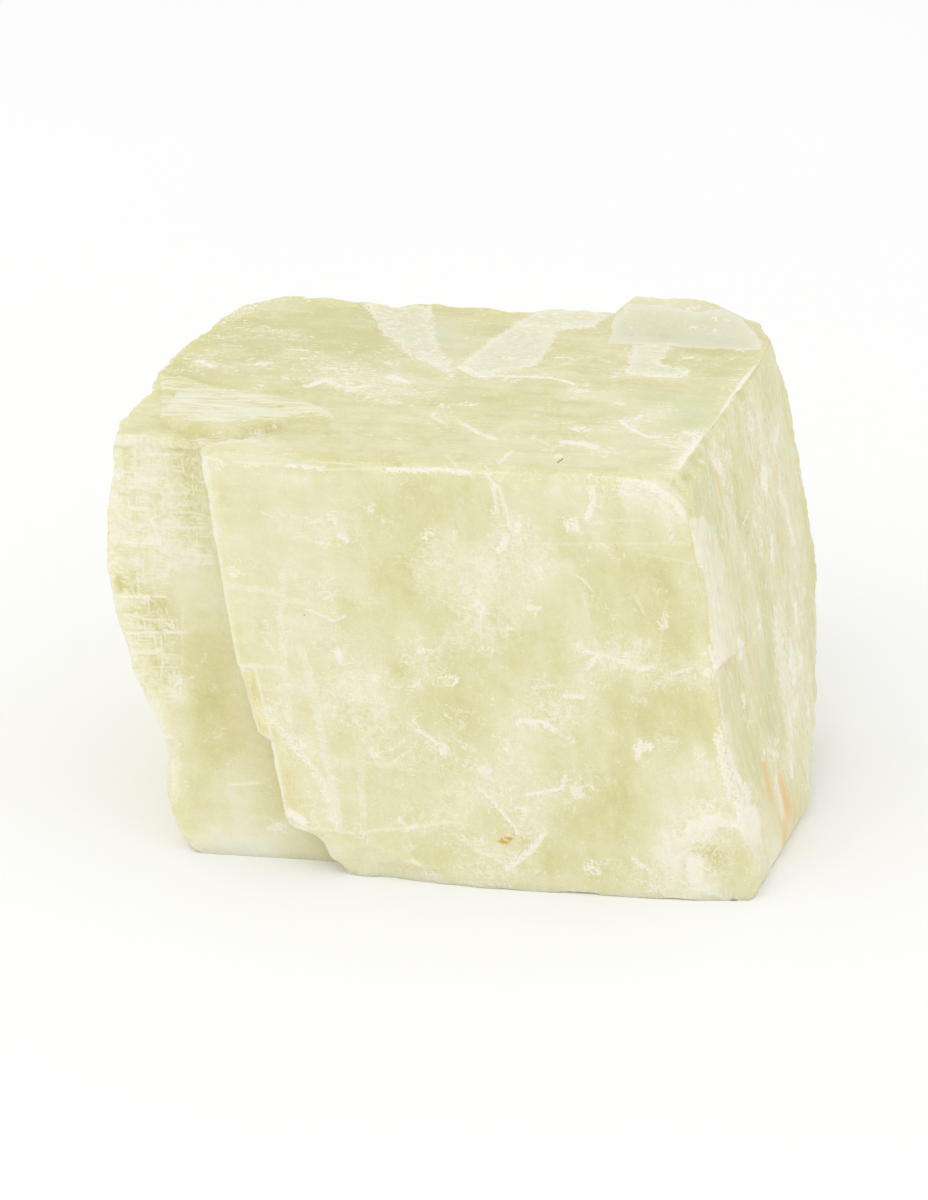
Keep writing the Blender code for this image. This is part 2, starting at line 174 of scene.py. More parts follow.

# Marks of the faces, measured on the photograph, in its pixels. The keys are the
# kind of mark and the plane. Each mark is its width, its strength, and the positions that
# it runs through, or its one position, across and down the picture.
MARKS = {
    ("white", "front"): [
        (5, 0.75, 287, 465, 324, 469), (6, 0.85, 386, 470, 412, 470, 442, 469, 472, 473),
        (6, 0.8, 526, 473, 576, 471, 601, 472), (8, 0.7, 588, 473, 619, 477, 640, 484),
        (11, 0.8, 634, 480, 654, 488, 669, 499), (8, 0.85, 664, 494, 678, 506, 684, 517),
        (5, 0.5, 611, 488, 650, 500, 672, 514),
        (5, 0.8, 642, 475, 666, 475, 677, 478, 681, 491), (6, 0.55, 669, 523, 674, 536),
        (10, 0.8, 520, 524, 514, 531), (9, 0.85, 508, 536, 503, 545, 496, 551),
        (5, 0.6, 521, 536, 512, 543), (10, 0.8, 540, 569), (4, 0.7, 531, 567, 543, 578),
        (10, 0.4, 550, 559, 558, 549), (8, 0.8, 591, 486, 593, 501, 586, 520),
        (7, 0.85, 455, 533), (7, 0.7, 432, 541), (7, 0.75, 482, 558),
        (5, 0.6, 504, 561, 510, 575), (8, 0.75, 328, 514, 338, 524),
        (6, 0.75, 336, 534, 350, 541), (6, 0.6, 322, 537), (5, 0.5, 291, 514, 325, 521),
        (5, 0.7, 317, 582, 328, 593), (8, 0.5, 265, 620, 273, 632),
        (8, 0.45, 430, 563, 462, 570), (5, 0.4, 397, 554, 425, 562),
        (12, 0.8, 474, 600, 484, 615), (4, 0.6, 450, 597, 460, 598),
        (9, 0.9, 336, 648, 341, 662), (14, 0.75, 375, 678), (4, 0.8, 366, 674, 368, 684),
        (11, 0.7, 420, 650), (4, 0.6, 390, 687, 412, 687, 426, 677),
        (3, 0.6, 426, 677, 425, 652), (10, 0.45, 345, 700, 394, 704),
        (5, 0.6, 352, 717, 358, 726), (8, 0.85, 370, 750, 377, 758),
        (4, 0.6, 378, 753, 396, 748, 404, 738), (5, 0.8, 416, 728, 430, 738, 440, 746),
        (12, 0.95, 440, 746, 447, 752), (6, 0.7, 267, 706, 271, 711),
        (9, 0.65, 270, 716, 282, 732, 296, 748, 314, 769, 322, 783, 331, 813, 339, 828),
        (10, 0.95, 287, 812, 305, 823), (6, 0.85, 462, 796), (7, 0.7, 456, 816),
        (6, 0.8, 404, 829, 418, 826), (11, 0.55, 357, 828, 368, 842),
        (6, 0.7, 410, 859, 434, 875), (5, 0.75, 475, 785, 496, 806, 515, 828, 519, 836),
        (5, 0.7, 515, 808, 529, 808, 521, 826), (8, 0.85, 544, 832, 531, 851, 507, 869),
        (3, 0.65, 460, 836, 480, 851, 507, 863), (4, 0.6, 460, 867, 487, 861),
        (6, 0.85, 494, 781), (5, 0.7, 506, 771), (6, 0.6, 507, 740, 509, 753),
        (7, 0.9, 529, 772), (5, 0.6, 506, 791, 514, 785),
        (5, 0.85, 527, 796, 562, 789, 566, 776), (10, 0.7, 564, 781),
        (10, 0.4, 587, 762, 602, 770), (6, 0.9, 518, 721, 542, 722, 558, 732),
        (5, 0.6, 531, 727, 555, 718), (3, 0.7, 541, 686, 556, 685),
        (6, 0.85, 563, 697, 584, 697),
        (4, 0.8, 577, 644, 587, 651, 603, 655, 619, 661, 638, 669, 654, 667),
        (7, 0.8, 587, 668, 593, 661, 603, 655), (5, 0.7, 619, 657, 631, 651),
        (4, 0.85, 672, 674, 692, 669), (9, 0.75, 703, 654), (12, 0.85, 708, 673),
        (6, 0.85, 664, 740), (8, 0.9, 638, 757), (16, 0.85, 693, 822, 690, 840),
        (12, 0.85, 700, 818, 745, 826), (10, 0.7, 664, 830, 668, 846),
        (16, 0.8, 698, 855, 695, 890), (10, 0.6, 680, 855, 672, 890),
        (6, 0.8, 632, 859, 650, 871), (6, 0.6, 638, 880, 656, 886), (5, 0.6, 611, 868),
        (5, 0.55, 460, 882, 511, 884), (5, 0.5, 570, 889, 590, 891),
        (5, 0.8, 716, 735, 722, 765, 730, 800), (3, 0.7, 713, 666, 714, 700),
        (6, 0.6, 506, 628, 514, 629), (5, 0.4, 522, 606, 524, 620), (5, 0.5, 623, 601),
        (13, 0.6, 205, 453, 225, 468), (5, 0.6, 492, 695, 494, 706),
        (5, 0.5, 505, 742, 508, 756), (4, 0.6, 445, 713, 450, 719), (6, 0.5, 385, 795),
        (5, 0.4, 440, 640, 455, 622), (18, 0.9, 690, 830, 705, 826, 722, 818),
        (12, 0.7, 693, 840, 712, 836), (13, 0.95, 690, 858, 693, 885),
        (12, 0.7, 706, 886, 712, 893), (5, 0.4, 714, 868, 716, 880),
        (4, 0.35, 735, 836, 734, 866), (8, 0.5, 697, 815, 702, 800),
    ],
    ("line", "front"): [
        (2, 0.7, 200, 448, 283, 450, 350, 463), (2, 0.6, 234, 462, 274, 464),
        (2, 0.5, 324, 470, 386, 469), (2, 0.6, 474, 473, 526, 473),
        (2.2, 0.8, 487, 474, 490, 484, 495, 497, 496, 513),
        (2.2, 0.9, 490, 480, 499, 488, 503, 498, 506, 506, 508, 520, 510, 528),
        (2.5, 0.7, 491, 565, 496, 584), (2, 0.6, 526, 536, 527, 544),
        (2, 0.8, 576, 576, 583, 579, 591, 588), (2.5, 0.7, 591, 523, 601, 523),
        (2.5, 0.35, 612, 521, 644, 521), (2, 0.6, 690, 530, 690, 546),
        (2, 0.3, 464, 543, 520, 543), (2.5, 0.32, 530, 544, 690, 543),
        (2, 0.3, 640, 553, 690, 562), (2, 0.35, 583, 593, 589, 621),
        (3, 0.45, 636, 596, 644, 613), (3, 0.4, 667, 603, 661, 639),
        (2, 0.7, 264, 513, 272, 517), (2.5, 0.85, 309, 610, 335, 621, 344, 616),
        (2, 0.6, 266, 641, 274, 651), (2.5, 0.6, 341, 665, 355, 662),
        (2.5, 0.6, 331, 777, 343, 783), (2.5, 0.6, 378, 726, 386, 734),
        (2.5, 0.6, 392, 763, 410, 750), (2, 0.5, 453, 738, 466, 746),
        (2, 0.8, 462, 607, 487, 614), (2, 0.6, 478, 585, 481, 636),
        (2, 0.6, 467, 620, 492, 600), (2.5, 0.6, 461, 834, 471, 844),
        (2.5, 0.6, 476, 852, 520, 859), (2.5, 0.4, 656, 666, 662, 647, 661, 636),
        (2, 0.6, 666, 741, 678, 742),
        (3, 0.6, 292, 826, 322, 830, 359, 834, 376, 830, 412, 828, 445, 822, 461, 823),
        (4, 0.6, 233, 667, 256, 665), (2.5, 0.7, 239, 668, 248, 703, 259, 736, 267, 739),
        (3, 0.6, 255, 669, 271, 736, 278, 765, 286, 815), (2.5, 0.4, 430, 655, 445, 642),
    ],
    ("band", "front"): [
        (9, 0.75, 203, 452, 212, 520, 222, 590, 231, 640, 236, 664),
        (7, 0.6, 224, 586, 260, 590, 281, 593), (6, 0.3, 284, 600, 310, 603),
        (7, 0.5, 281, 571, 285, 598, 279, 613), (7, 0.35, 280, 613, 284, 658, 290, 744),
        (9, 0.6, 300, 646, 314, 691, 322, 744, 331, 773, 339, 828),
        (5, 0.4, 259, 667, 282, 668), (9, 0.5, 263, 686, 310, 692),
        (4, 0.5, 310, 706, 333, 707), (4, 0.4, 310, 752, 331, 752),
        (7, 0.4, 337, 763, 400, 765), (8, 0.35, 359, 748, 363, 814),
    ],
    ("milk", "front"): [
        (30, 0.3, 206, 470, 300, 480), (70, 0.25, 215, 540, 300, 550), (70, 0.25, 320, 520),
        (40, 0.22, 525, 500, 680, 510), (30, -0.1, 660, 640, 665, 690),
        (60, 0.5, 690, 780, 700, 880), (30, 0.25, 660, 780, 670, 860),
        (60, 0.15, 330, 640, 340, 800), (26, 0.25, 270, 850, 400, 860),
        (50, 0.2, 300, 580, 300, 640), (50, 0.15, 460, 560, 540, 570),
        (20, 0.2, 640, 490, 684, 520), (60, 0.2, 370, 690), (60, 0.12, 500, 740, 560, 790),
        (30, -0.35, 690, 800, 700, 870), (22, -0.6, 712, 858), (50, -0.35, 405, 515, 420, 535),
        (12, -0.4, 354, 605), (16, -0.5, 494, 612), (18, -0.35, 402, 667),
        (60, -0.3, 455, 680, 470, 740), (60, -0.28, 640, 570, 690, 640),
        (60, -0.22, 640, 710, 690, 720), (80, -0.3, 560, 840, 620, 800),
        (30, -0.25, 600, 870, 560, 860), (14, -0.6, 700, 850, 714, 855),
        (10, -0.55, 666, 478, 684, 492), (40, -0.15, 400, 580, 440, 610),
        (20, -0.25, 340, 710, 345, 740), (30, -0.25, 460, 850, 430, 850),
        (40, -0.15, 520, 650, 530, 700),
    ],
    ("line", "recess"): [
        (2, 0.8, 127, 426, 143, 426), (2, 0.8, 129, 436, 142, 436),
        (2, 0.9, 143, 460, 164, 461), (2, 0.7, 116, 478, 129, 479),
        (2, 0.9, 129, 483, 164, 483), (2, 0.9, 122, 492, 146, 493),
        (1.6, 0.6, 146, 496, 166, 496), (2.2, 1, 166, 497, 184, 498),
        (2.4, 1, 124, 510, 146, 511), (1.8, 0.7, 159, 515, 188, 515),
        (2.2, 0.9, 124, 526, 155, 527), (1.8, 0.7, 126, 530, 144, 531),
        (2, 0.8, 142, 533, 155, 534), (1.8, 0.8, 164, 529, 203, 529),
        (1.6, 0.6, 140, 538, 162, 538), (2.4, 1, 124, 543, 160, 544),
        (1.8, 0.6, 160, 552, 188, 554), (1.6, 0.7, 164, 482, 164, 491),
        (1.6, 0.6, 160, 497, 160, 516), (1.6, 0.6, 150, 519, 155, 542),
        (1.6, 0.5, 177, 524, 177, 529), (2.2, 1, 119, 595, 166, 595),
        (1.6, 0.6, 119, 594, 128, 589), (1.8, 0.7, 125, 613, 138, 613),
        (1.6, 0.7, 139, 612, 139, 626), (1.6, 0.6, 150, 596, 151, 618),
        (1.4, 0.5, 141, 617, 152, 617, 152, 625, 141, 625), (2.2, 0.9, 129, 631, 184, 631),
        (1.6, 0.8, 132, 649, 162, 649), (1.6, 0.6, 133, 652, 161, 652),
        (1.6, 0.7, 162, 632, 164, 662, 161, 690), (1.6, 0.5, 150, 672, 158, 682, 161, 690),
        (1.6, 0.5, 152, 700, 177, 700), (1.4, 0.35, 184, 605, 184, 665),
        (1.6, 0.4, 143, 443, 147, 470), (1.6, 0.35, 130, 440, 129, 520),
        (1.6, 0.4, 138, 560, 140, 590), (2.2, 0.7, 174, 762, 175, 792),
        (4, 0.8, 168, 735, 176, 736), (3, 0.9, 192, 555, 213, 556),
        (3, 0.8, 192, 562, 214, 563), (3, 0.8, 231, 783, 261, 781),
    ],
    ("milk", "recess"): [
        (16, 0.5, 120, 600, 130, 650, 150, 690, 165, 730), (18, 0.5, 112, 500, 116, 560),
        (12, 0.3, 112, 440, 118, 470), (8, -1, 120, 455, 121, 470),
        (6, -1, 121, 577, 122, 586), (24, 0.2, 160, 650, 170, 680),
        (36, 0.3, 180, 860, 215, 830, 270, 850), (30, -0.25, 200, 600, 215, 700),
        (24, -0.3, 180, 440, 190, 540), (34, -0.8, 160, 605, 170, 670),
        (24, -0.3, 200, 700, 215, 810), (60, 0.35, 120, 440, 190, 600),
        (24, 0.3, 150, 620, 180, 690), (60, 0.35, 230, 790, 240, 825),
        (40, -0.3, 215, 640, 235, 750),
    ],
    ("band", "recess"): [
        (8, 0.4, 178, 740, 176, 800),
    ],
    ("rust_and_shadow", "recess"): [
        (12, 0.2, 226, 672), (16, 0.25, 225, 727), (8, 0.45, 200, 565),
        (14, 0.25, 236, 700, 243, 728), (16, 0.15, 190, 640, 200, 680),
    ],
    ("white", "right"): [
        (7, 0.8, 719, 462, 716, 480), (7, 0.6, 722, 455, 730, 459),
        (2, 0.9, 719, 471, 724, 500, 729, 543), (6, 0.5, 757, 500, 757, 560),
        (8, 0.9, 762, 467, 760, 489), (8, 0.7, 750, 415, 749, 433),
        (4, 0.6, 758, 415, 760, 430), (4, 0.8, 781, 430, 776, 453),
        (6, 0.8, 781, 489, 788, 510), (5, 0.8, 788, 519, 795, 543),
        (2.4, 0.9, 768, 535, 767, 561), (3, 0.8, 741, 552, 741, 564),
        (3, 1, 754.5, 623, 754.5, 629), (3.5, 0.9, 794, 602, 791, 616),
        (3.5, 0.9, 786, 644, 784, 668), (6, 0.6, 770, 605, 774, 650, 777, 700),
        (3, 0.5, 777, 640, 778, 700), (3.5, 0.8, 796, 653, 794, 667),
        (2.6, 0.9, 789, 665, 786, 685), (2.6, 0.8, 789, 697, 784, 716),
        (7, 0.6, 802, 708, 803, 730), (6, 0.6, 808, 738, 810, 762),
        (3, 0.9, 780, 715, 781, 735), (3.5, 0.8, 779, 758, 779, 778),
        (4, 1, 767, 790, 768, 820), (8, 0.8, 734, 785, 738, 798),
        (14, 0.9, 722, 812, 734, 820, 746, 826), (2.5, 0.7, 758, 751, 768, 753),
        (7, 0.5, 790, 780, 798, 800), (7, 0.4, 771, 850, 764, 872),
        (3, 0.4, 736, 840, 738, 860), (2.5, 0.7, 712, 665, 717, 710, 721, 740),
        (5, 0.8, 722, 745, 727, 770, 733, 785), (8, 0.9, 708, 655, 706, 676),
        (3, 0.4, 733, 715, 740, 718, 750, 722), (3, 0.85, 713, 460, 716, 485),
        (3, 0.3, 704, 470, 700, 500), (3, 0.7, 747, 420, 748, 440),
        (3, 0.7, 757, 418, 763, 436), (3, 0.85, 784, 424, 777, 450),
        (3, 0.6, 770, 620, 772, 672), (3, 0.8, 764, 775, 768, 816), (3, 0.8, 755, 751),
        (3, 0.8, 767, 753), (9, 0.8, 735, 815, 745, 826),
        (5, 0.7, 716, 735, 722, 765, 731, 800), (6, 0.8, 730, 640, 737, 655),
        (2.5, 0.35, 740, 640, 742, 700), (3, 0.5, 780, 480, 790, 540),
        (4, 0.45, 795, 560, 800, 620), (2.5, 0.4, 745, 560, 750, 610),
        (2.5, 0.4, 765, 520, 770, 580),
    ],
    ("rust_and_shadow", "right"): [
        (4, 0.6, 708, 474, 712, 489), (6, 0.45, 775, 468, 774, 489),
        (8, 0.5, 791, 486, 797, 512), (5, 0.35, 777, 512, 776, 530),
        (3, 0.3, 733, 560, 731, 590), (6, 0.45, 748, 664, 750, 680),
        (4, 1, 754, 767, 759, 797), (6, 0.8, 769, 778, 773, 803),
        (9, 0.55, 775, 806, 784, 820), (7, 0.7, 771, 828, 774, 842),
        (4, 0.4, 757, 740, 758, 765), (12, 0.35, 765, 800, 772, 830),
        (7, 0.3, 735, 850, 738, 870), (3, 0.4, 814, 650, 815, 670),
        (6, 0.15, 738, 560, 742, 600), (6, 0.3, 716, 668, 718, 690),
        (2, 0.1, 757, 300, 757, 301), (4, 0.6, 707, 476, 713, 500),
        (4, 0.4, 701, 460, 705, 468), (5, 0.35, 720, 480, 730, 515), (4, 0.6, 760, 398),
        (4, 0.4, 775, 470, 785, 510), (3, 0.6, 754, 765, 756, 795),
        (4, 0.65, 768, 780, 772, 805), (4, 0.6, 764, 815, 771, 840),
        (4, 0.35, 780, 800, 782, 830), (26, 0.22, 740, 860, 760, 880),
        # Painted shadow: the first mark of the next line is the shade under the lower edge of
        # the raised strip, drawn with the rust colours; the other marks here are rust stains.
        (6, 0.55, 722, 664, 736, 668), (5, 0.4, 714, 680, 716, 700),
    ],
    ("milk", "right"): [
        (7, 0.4, 775, 605, 779, 700, 779, 765), (7, 0.3, 795, 460, 812, 560),
        (16, 0.3, 790, 840, 760, 880), (14, -0.25, 762, 600, 764, 740),
        (12, -0.1, 700, 480, 706, 520), (16, -0.2, 735, 700, 745, 780),
        (12, -0.15, 740, 480, 745, 560), (30, 0.35, 735, 840, 770, 880),
        (14, 0.2, 790, 600, 800, 760),
    ],
    ("green", "right"): [
        (14, 0.5, 762, 600, 764, 740), (20, 0.3, 700, 455, 705, 520),
    ],
    ("crowd", "front"): [
        (30, 0.5, 350, 560, 300, 600), (30, 0.7, 290, 640, 330, 690, 300, 720),
        (30, 0.5, 360, 620, 400, 640), (30, 0.7, 440, 580, 500, 600, 480, 640),
        (24, 0.8, 420, 690, 380, 700, 350, 700), (24, 0.6, 380, 740, 440, 745, 500, 740),
        (30, 0.7, 420, 780, 470, 800, 450, 830), (24, 0.6, 300, 760, 340, 800),
        (16, 0.4, 530, 700, 600, 720), (12, 0.5, 590, 640, 640, 650),
        (20, 0.5, 330, 500, 400, 530), (20, 0.4, 560, 520, 540, 560),
    ],
    ("crowd", "top"): [
        (16, 0.8, 290, 360, 350, 375, 420, 385), (10, 0.5, 380, 400, 450, 410),
        (10, 0.4, 200, 350, 300, 345), (10, 0.5, 560, 430, 650, 425),
    ],
    ("crowd", "right"): [
        (24, 0.8, 765, 440, 785, 500, 795, 560), (20, 0.8, 790, 640, 800, 740),
        (16, 0.5, 740, 440, 755, 500),
    ],
    ("rust_and_shadow", "front"): [
        (4, 0.5, 733, 811), (8, 0.25, 722, 832), (5, 1.4, 500, 841, 505, 842, 512, 837),
        (4, 0.7, 616, 833), (7, 0.5, 654, 503), (6, 0.3, 676, 505),
        (3, 0.8, 615, 544, 616, 549), (9, 0.5, 709, 683, 711, 693),
        (9, 0.6, 250, 680, 256, 706, 264, 734), (12, 0.5, 288, 771, 294, 806),
        (8, 0.25, 722, 800, 722, 815), (14, 0.22, 722, 825, 727, 870),
    ],
    ("dark", "top"): [
        (1.2, 1, 254, 458), (0.9, 1, 558, 462, 562, 459), (0.8, 0.8, 488, 370),
        (0.8, 0.8, 542, 375), (0.8, 0.8, 647, 368), (0.8, 0.6, 640, 384),
        (1.3, 1, 203, 414, 208, 414),
    ],
    ("dark", "front"): [
        (1.6, 1, 560, 594), (1.6, 1, 305, 615),
    ],
    ("blue", "front"): [
        (9, 0.6, 236, 456, 305, 460), (6, 0.5, 420, 467, 470, 470),
        (8, 0.3, 316, 489, 327, 505),
    ],
    ("white", "recess"): [
        (9, 0.9, 179, 433), (12, 0.9, 130, 430, 143, 432),
    ],
    ("white", "top"): [
        (4, 0.85, 196, 360, 215, 367), (3, 0.6, 239, 365, 254, 364),
        (3, 0.75, 300, 350, 311, 351), (3, 0.7, 320, 368, 337, 369),
        (4, 0.85, 306, 387, 326, 380, 337, 385), (3, 0.85, 339, 386, 355, 388, 369, 385),
        (4, 0.6, 369, 357), (5, 0.8, 387, 376, 411, 383), (3, 0.7, 372, 395, 380, 396),
        (2, 0.7, 432, 413, 441, 422), (4, 0.6, 395, 429), (4, 0.8, 261, 385),
        (2, 0.6, 217, 336, 231, 337), (2, 0.6, 215, 351, 230, 351), (3, 0.5, 350, 372),
        (3, 0.5, 344, 360), (6, 0.8, 459, 365, 476, 375, 492, 376),
        (3, 0.85, 494, 376, 533, 377, 552, 378, 574, 384), (3, 0.8, 577, 393, 588, 391),
        (3, 0.85, 625, 371, 650, 375, 680, 376, 689, 369), (3, 0.8, 683, 358, 694, 357),
        (6, 0.5, 617, 372), (3, 0.7, 718, 357), (2.5, 0.8, 670, 406), (2.5, 0.8, 662, 412),
        (2.5, 0.8, 634, 420, 643, 416), (3, 0.95, 621, 421, 632, 430, 648, 437, 660, 437),
        (4, 0.75, 460, 423, 480, 433, 497, 440), (4, 0.5, 504, 432, 520, 437),
        (6, 0.85, 561, 442, 580, 443, 598, 448), (2.5, 0.8, 600, 452, 609, 452),
        (4, 0.5, 531, 437, 556, 448), (4, 0.5, 598, 430, 613, 430),
        (3, 0.65, 515, 325, 550, 326, 591, 327),
        (4.5, 0.9, 777, 343, 765, 359, 747, 377, 735, 396, 724, 414, 708, 437, 697, 455),
        (13, 1, 684, 470, 694, 458, 705, 442), (6, 0.8, 690, 452, 700, 436),
        (6, 0.6, 726, 316, 745, 330), (4, 0.6, 400, 349, 417, 357, 443, 368, 454, 377),
        (3, 0.5, 386, 336, 400, 343), (4, 0.5, 228, 326, 272, 331, 307, 337),
        (8, 0.5, 228, 320, 262, 305), (4, 0.5, 498, 462, 505, 458),
        (5, 0.55, 199, 440, 262, 442),
    ],
    ("line", "top"): [
        (2, 0.7, 430, 415, 444, 423), (1.6, 0.8, 660, 444, 678, 447, 694, 444),
        (1.6, 0.8, 499, 463, 512, 451), (1.6, 0.5, 446, 455, 457, 466),
        (1.6, 0.4, 687, 378, 744, 377),
        (2.5, 0.35, 499, 371, 526, 370, 559, 366, 577, 359, 595, 357, 616, 363),
    ],
    ("milk", "top"): [
        (20, 0.1, 560, 340, 600, 345), (16, 0.3, 250, 310, 330, 305),
        (14, 0.3, 660, 325, 740, 325), (12, 0.15, 480, 455, 600, 460),
        (24, -0.28, 300, 345, 350, 350), (16, -0.2, 180, 365, 200, 372),
        (12, -0.4, 280, 428, 320, 430), (16, -0.15, 460, 395, 560, 400),
        (16, -0.3, 700, 350, 730, 352), (10, -0.35, 140, 420, 160, 415),
        (20, -0.12, 430, 400, 470, 445),
    ],
    ("green", "top"): [
        (26, 0.8, 660, 400, 700, 410, 690, 425), (12, 0.35, 580, 365, 610, 370),
        (16, 0.3, 440, 380, 460, 390), (16, 0.3, 400, 330, 340, 320),
    ],
    ("blue", "top"): [
        (22, 0.7, 420, 318, 440, 330, 455, 350), (18, 0.6, 510, 345, 540, 330),
        (8, 0.6, 395, 365, 402, 375), (14, 0.8, 620, 318, 700, 325),
        (8, 0.6, 560, 318, 600, 316), (8, 0.6, 245, 307, 290, 303),
    ],
    ("rust_and_shadow", "top"): [
        (8, 0.35, 210, 428), (2.2, 0.9, 258, 324), (2, 0.8, 262, 311),
        (2, 0.4, 291, 328, 296, 331), (2, 0.9, 374, 328, 377, 330), (2, 0.9, 381, 331),
        (5, 0.45, 188, 351, 198, 355), (8, 0.28, 272, 432, 326, 440),
        (4, 0.25, 250, 431, 262, 430), (4, 0.5, 630, 336, 682, 338), (5, 0.5, 550, 450),
        (6, 0.12, 560, 352), (4, 0.25, 400, 347, 401, 351),
    ],
    ("dark", "right"): [
        (0.8, 1, 700, 573),
    ],
}

# Patches with ragged borders: how many millimetres each lies behind its face, and its
# outlines in the photograph's pixels.
PATCHES = {
    ("flake", "top"): (0.6, [
        [(160, 378), (161, 418), (191, 427), (222, 428), (250, 426), (262, 424), (283, 419),
         (304, 416), (322, 420), (337, 425), (330, 415), (314, 408), (300, 404), (272, 398),
         (241, 395), (211, 388), (180, 380)],
    ]),
    ("pale", "top"): (0, [
        [(363, 303), (374, 320), (382, 334), (400, 342), (400, 349), (417, 357), (443, 368),
         (454, 377), (450, 360), (438, 345), (434, 325), (430, 306)],
        [(459, 365), (485, 343), (513, 324), (533, 312), (549, 309), (600, 313), (611, 315),
         (592, 327), (556, 330), (550, 350), (535, 366), (495, 373), (476, 375)],
        [(625, 372), (632, 345), (674, 344), (668, 352), (660, 362), (672, 366), (690, 368),
         (680, 376), (650, 375)],
    ]),
    ("lump", "top"): (-1.1, [
        [(606, 334), (612, 318), (625, 311), (652, 313), (700, 321), (731, 315), (762, 334),
         (757, 341), (694, 338), (660, 336)],
    ]),
    ("sliver", "right"): (-0.9, [
        [(690, 521), (695, 552), (703, 575), (707, 600), (711, 640), (716, 663), (737, 656),
         (739, 640), (730, 600), (724, 560), (714, 530), (702, 516)],
    ]),
}


# Numbers


def eased(start, end, values):
    """0 below start, 1 above end, and 3t^2 - 2t^3 of the share t between them."""
    share = np.clip((values - start) / (end - start), 0, 1)
    return share * share * (3 - 2 * share)


def along_table(table, values):
    """The straight-line reading of a table of (where, value) pairs."""
    where, reading = np.array(table, float).T
    return np.interp(values, where, reading)


def lattice(cells, seed):
    """A number from 0 to 1 for each whole-number cell: its three numbers and the seed,
    each times a large odd number, mixed by shifts."""
    cells = cells.astype(np.int64).astype(np.uint32)
    mixed = cells[..., 0] * np.uint32(374761393) + cells[..., 1] * np.uint32(668265263)
    mixed = mixed + cells[..., 2] * np.uint32(2246822519) + np.uint32(seed * 3266489 + 97)
    mixed = (mixed ^ (mixed >> np.uint32(13))) * np.uint32(1274126177)
    mixed = (mixed ^ (mixed >> np.uint32(16))) * np.uint32(2654435761)
    return (mixed ^ (mixed >> np.uint32(15))).astype(np.float64) / 4294967295.0


def value_noise(places, seed):
    """Smooth noise from 0 to 1: the eight cell corners round a place, blended by the
    eased share of the way between them on each axis."""
    low = np.floor(places)
    share = places - low
    share = share * share * (3 - 2 * share)
    total = np.zeros(places.shape[:-1])
    for corner in np.ndindex(2, 2, 2):
        corner = np.array(corner)
        weight = np.prod(np.where(corner == 1, share, 1 - share), axis=-1)
        total += weight * lattice(low + corner, seed)
    return total


def clouds(places, size, seed, octaves=4):
    """Noise from -1 to 1: octaves of value noise, each half as wide and 0.55 as strong
    as the one before. Size is the width in millimetres, one number or one for each axis."""
    scaled = places / np.asarray(size, float)
    total, strength, whole = 0.0, 1.0, 0.0
    for octave in range(octaves):
        total = total + strength * (2 * value_noise(scaled * 2.0 ** octave, seed + octave) - 1)
        whole += strength
        strength *= 0.55
    return total / whole


def frayed(places):
    """The noise that makes outlines ragged, from -1 to 1 and 1.3 mm wide."""
    return clouds(places, 1.3, 11, 3)


def steps(values, height):
    """Stairs: the whole number of heights below a value, with a short eased rise."""
    level = np.floor(values / height)
    return (level + eased(0.8, 1.0, values / height - level)) * height


def on_plane(pairs):
    """Places of two crystal directions as true millimetres: x = p + K q, y = SIDE q."""
    pairs = np.asarray(pairs, float)
    return np.stack([pairs[..., 0] + K * pairs[..., 1], SIDE * pairs[..., 1]], -1)


def to_line(places, points):
    """The distance from each place to a line through points, or to one point, and the
    distance with a side: plus on its left, minus on its right, measured straight across."""
    if len(points) == 1:
        far = np.linalg.norm(places - points[0], axis=-1)
        return far, far
    nearest = np.full(places.shape[:-1], 1e9)
    across = np.full(places.shape[:-1], 1e9)
    for start, end in zip(points[:-1], points[1:]):
        run = end - start
        length = max(np.linalg.norm(run), 1e-6)
        offset = places - start
        share = np.clip(offset @ run / length ** 2, 0, 1)
        far = np.linalg.norm(offset - share[..., None] * run, axis=-1)
        side = (run[0] * offset[..., 1] - run[1] * offset[..., 0]) / length
        closer = far < nearest
        nearest = np.where(closer, far, nearest)
        across = np.where(closer, side, across)
    return nearest, across


def depth_inside(places, outline):
    """How far inside a closed outline each place lies, in millimetres: the distance to
    its nearest edge, minus outside. A place is inside where a ray crosses an odd number
    of edges."""
    points = on_plane(outline)
    far, _ = to_line(places, np.concatenate([points, points[:1]]))
    crossed = np.zeros(places.shape[:-1], bool)
    for (x0, y0), (x1, y1) in zip(points, np.roll(points, -1, axis=0)):
        spans = (y0 > places[..., 1]) != (y1 > places[..., 1])
        rise = np.where(y1 == y0, 1e-9, y1 - y0)
        crossing = x0 + (places[..., 1] - y0) * (x1 - x0) / rise
        crossed ^= spans & (places[..., 0] < crossing)
    return np.where(crossed, far, -far)


# The mesh


def grid_lines(knots):
    """Places of the grid lines: even spans between knots, each knot a (place, spans)."""
    parts = [np.array([knots[0][0]], float)]
    for (start, _), (end, count) in zip(knots[:-1], knots[1:]):
        parts.append(np.linspace(start, end, count + 1)[1:])
    return np.concatenate(parts)


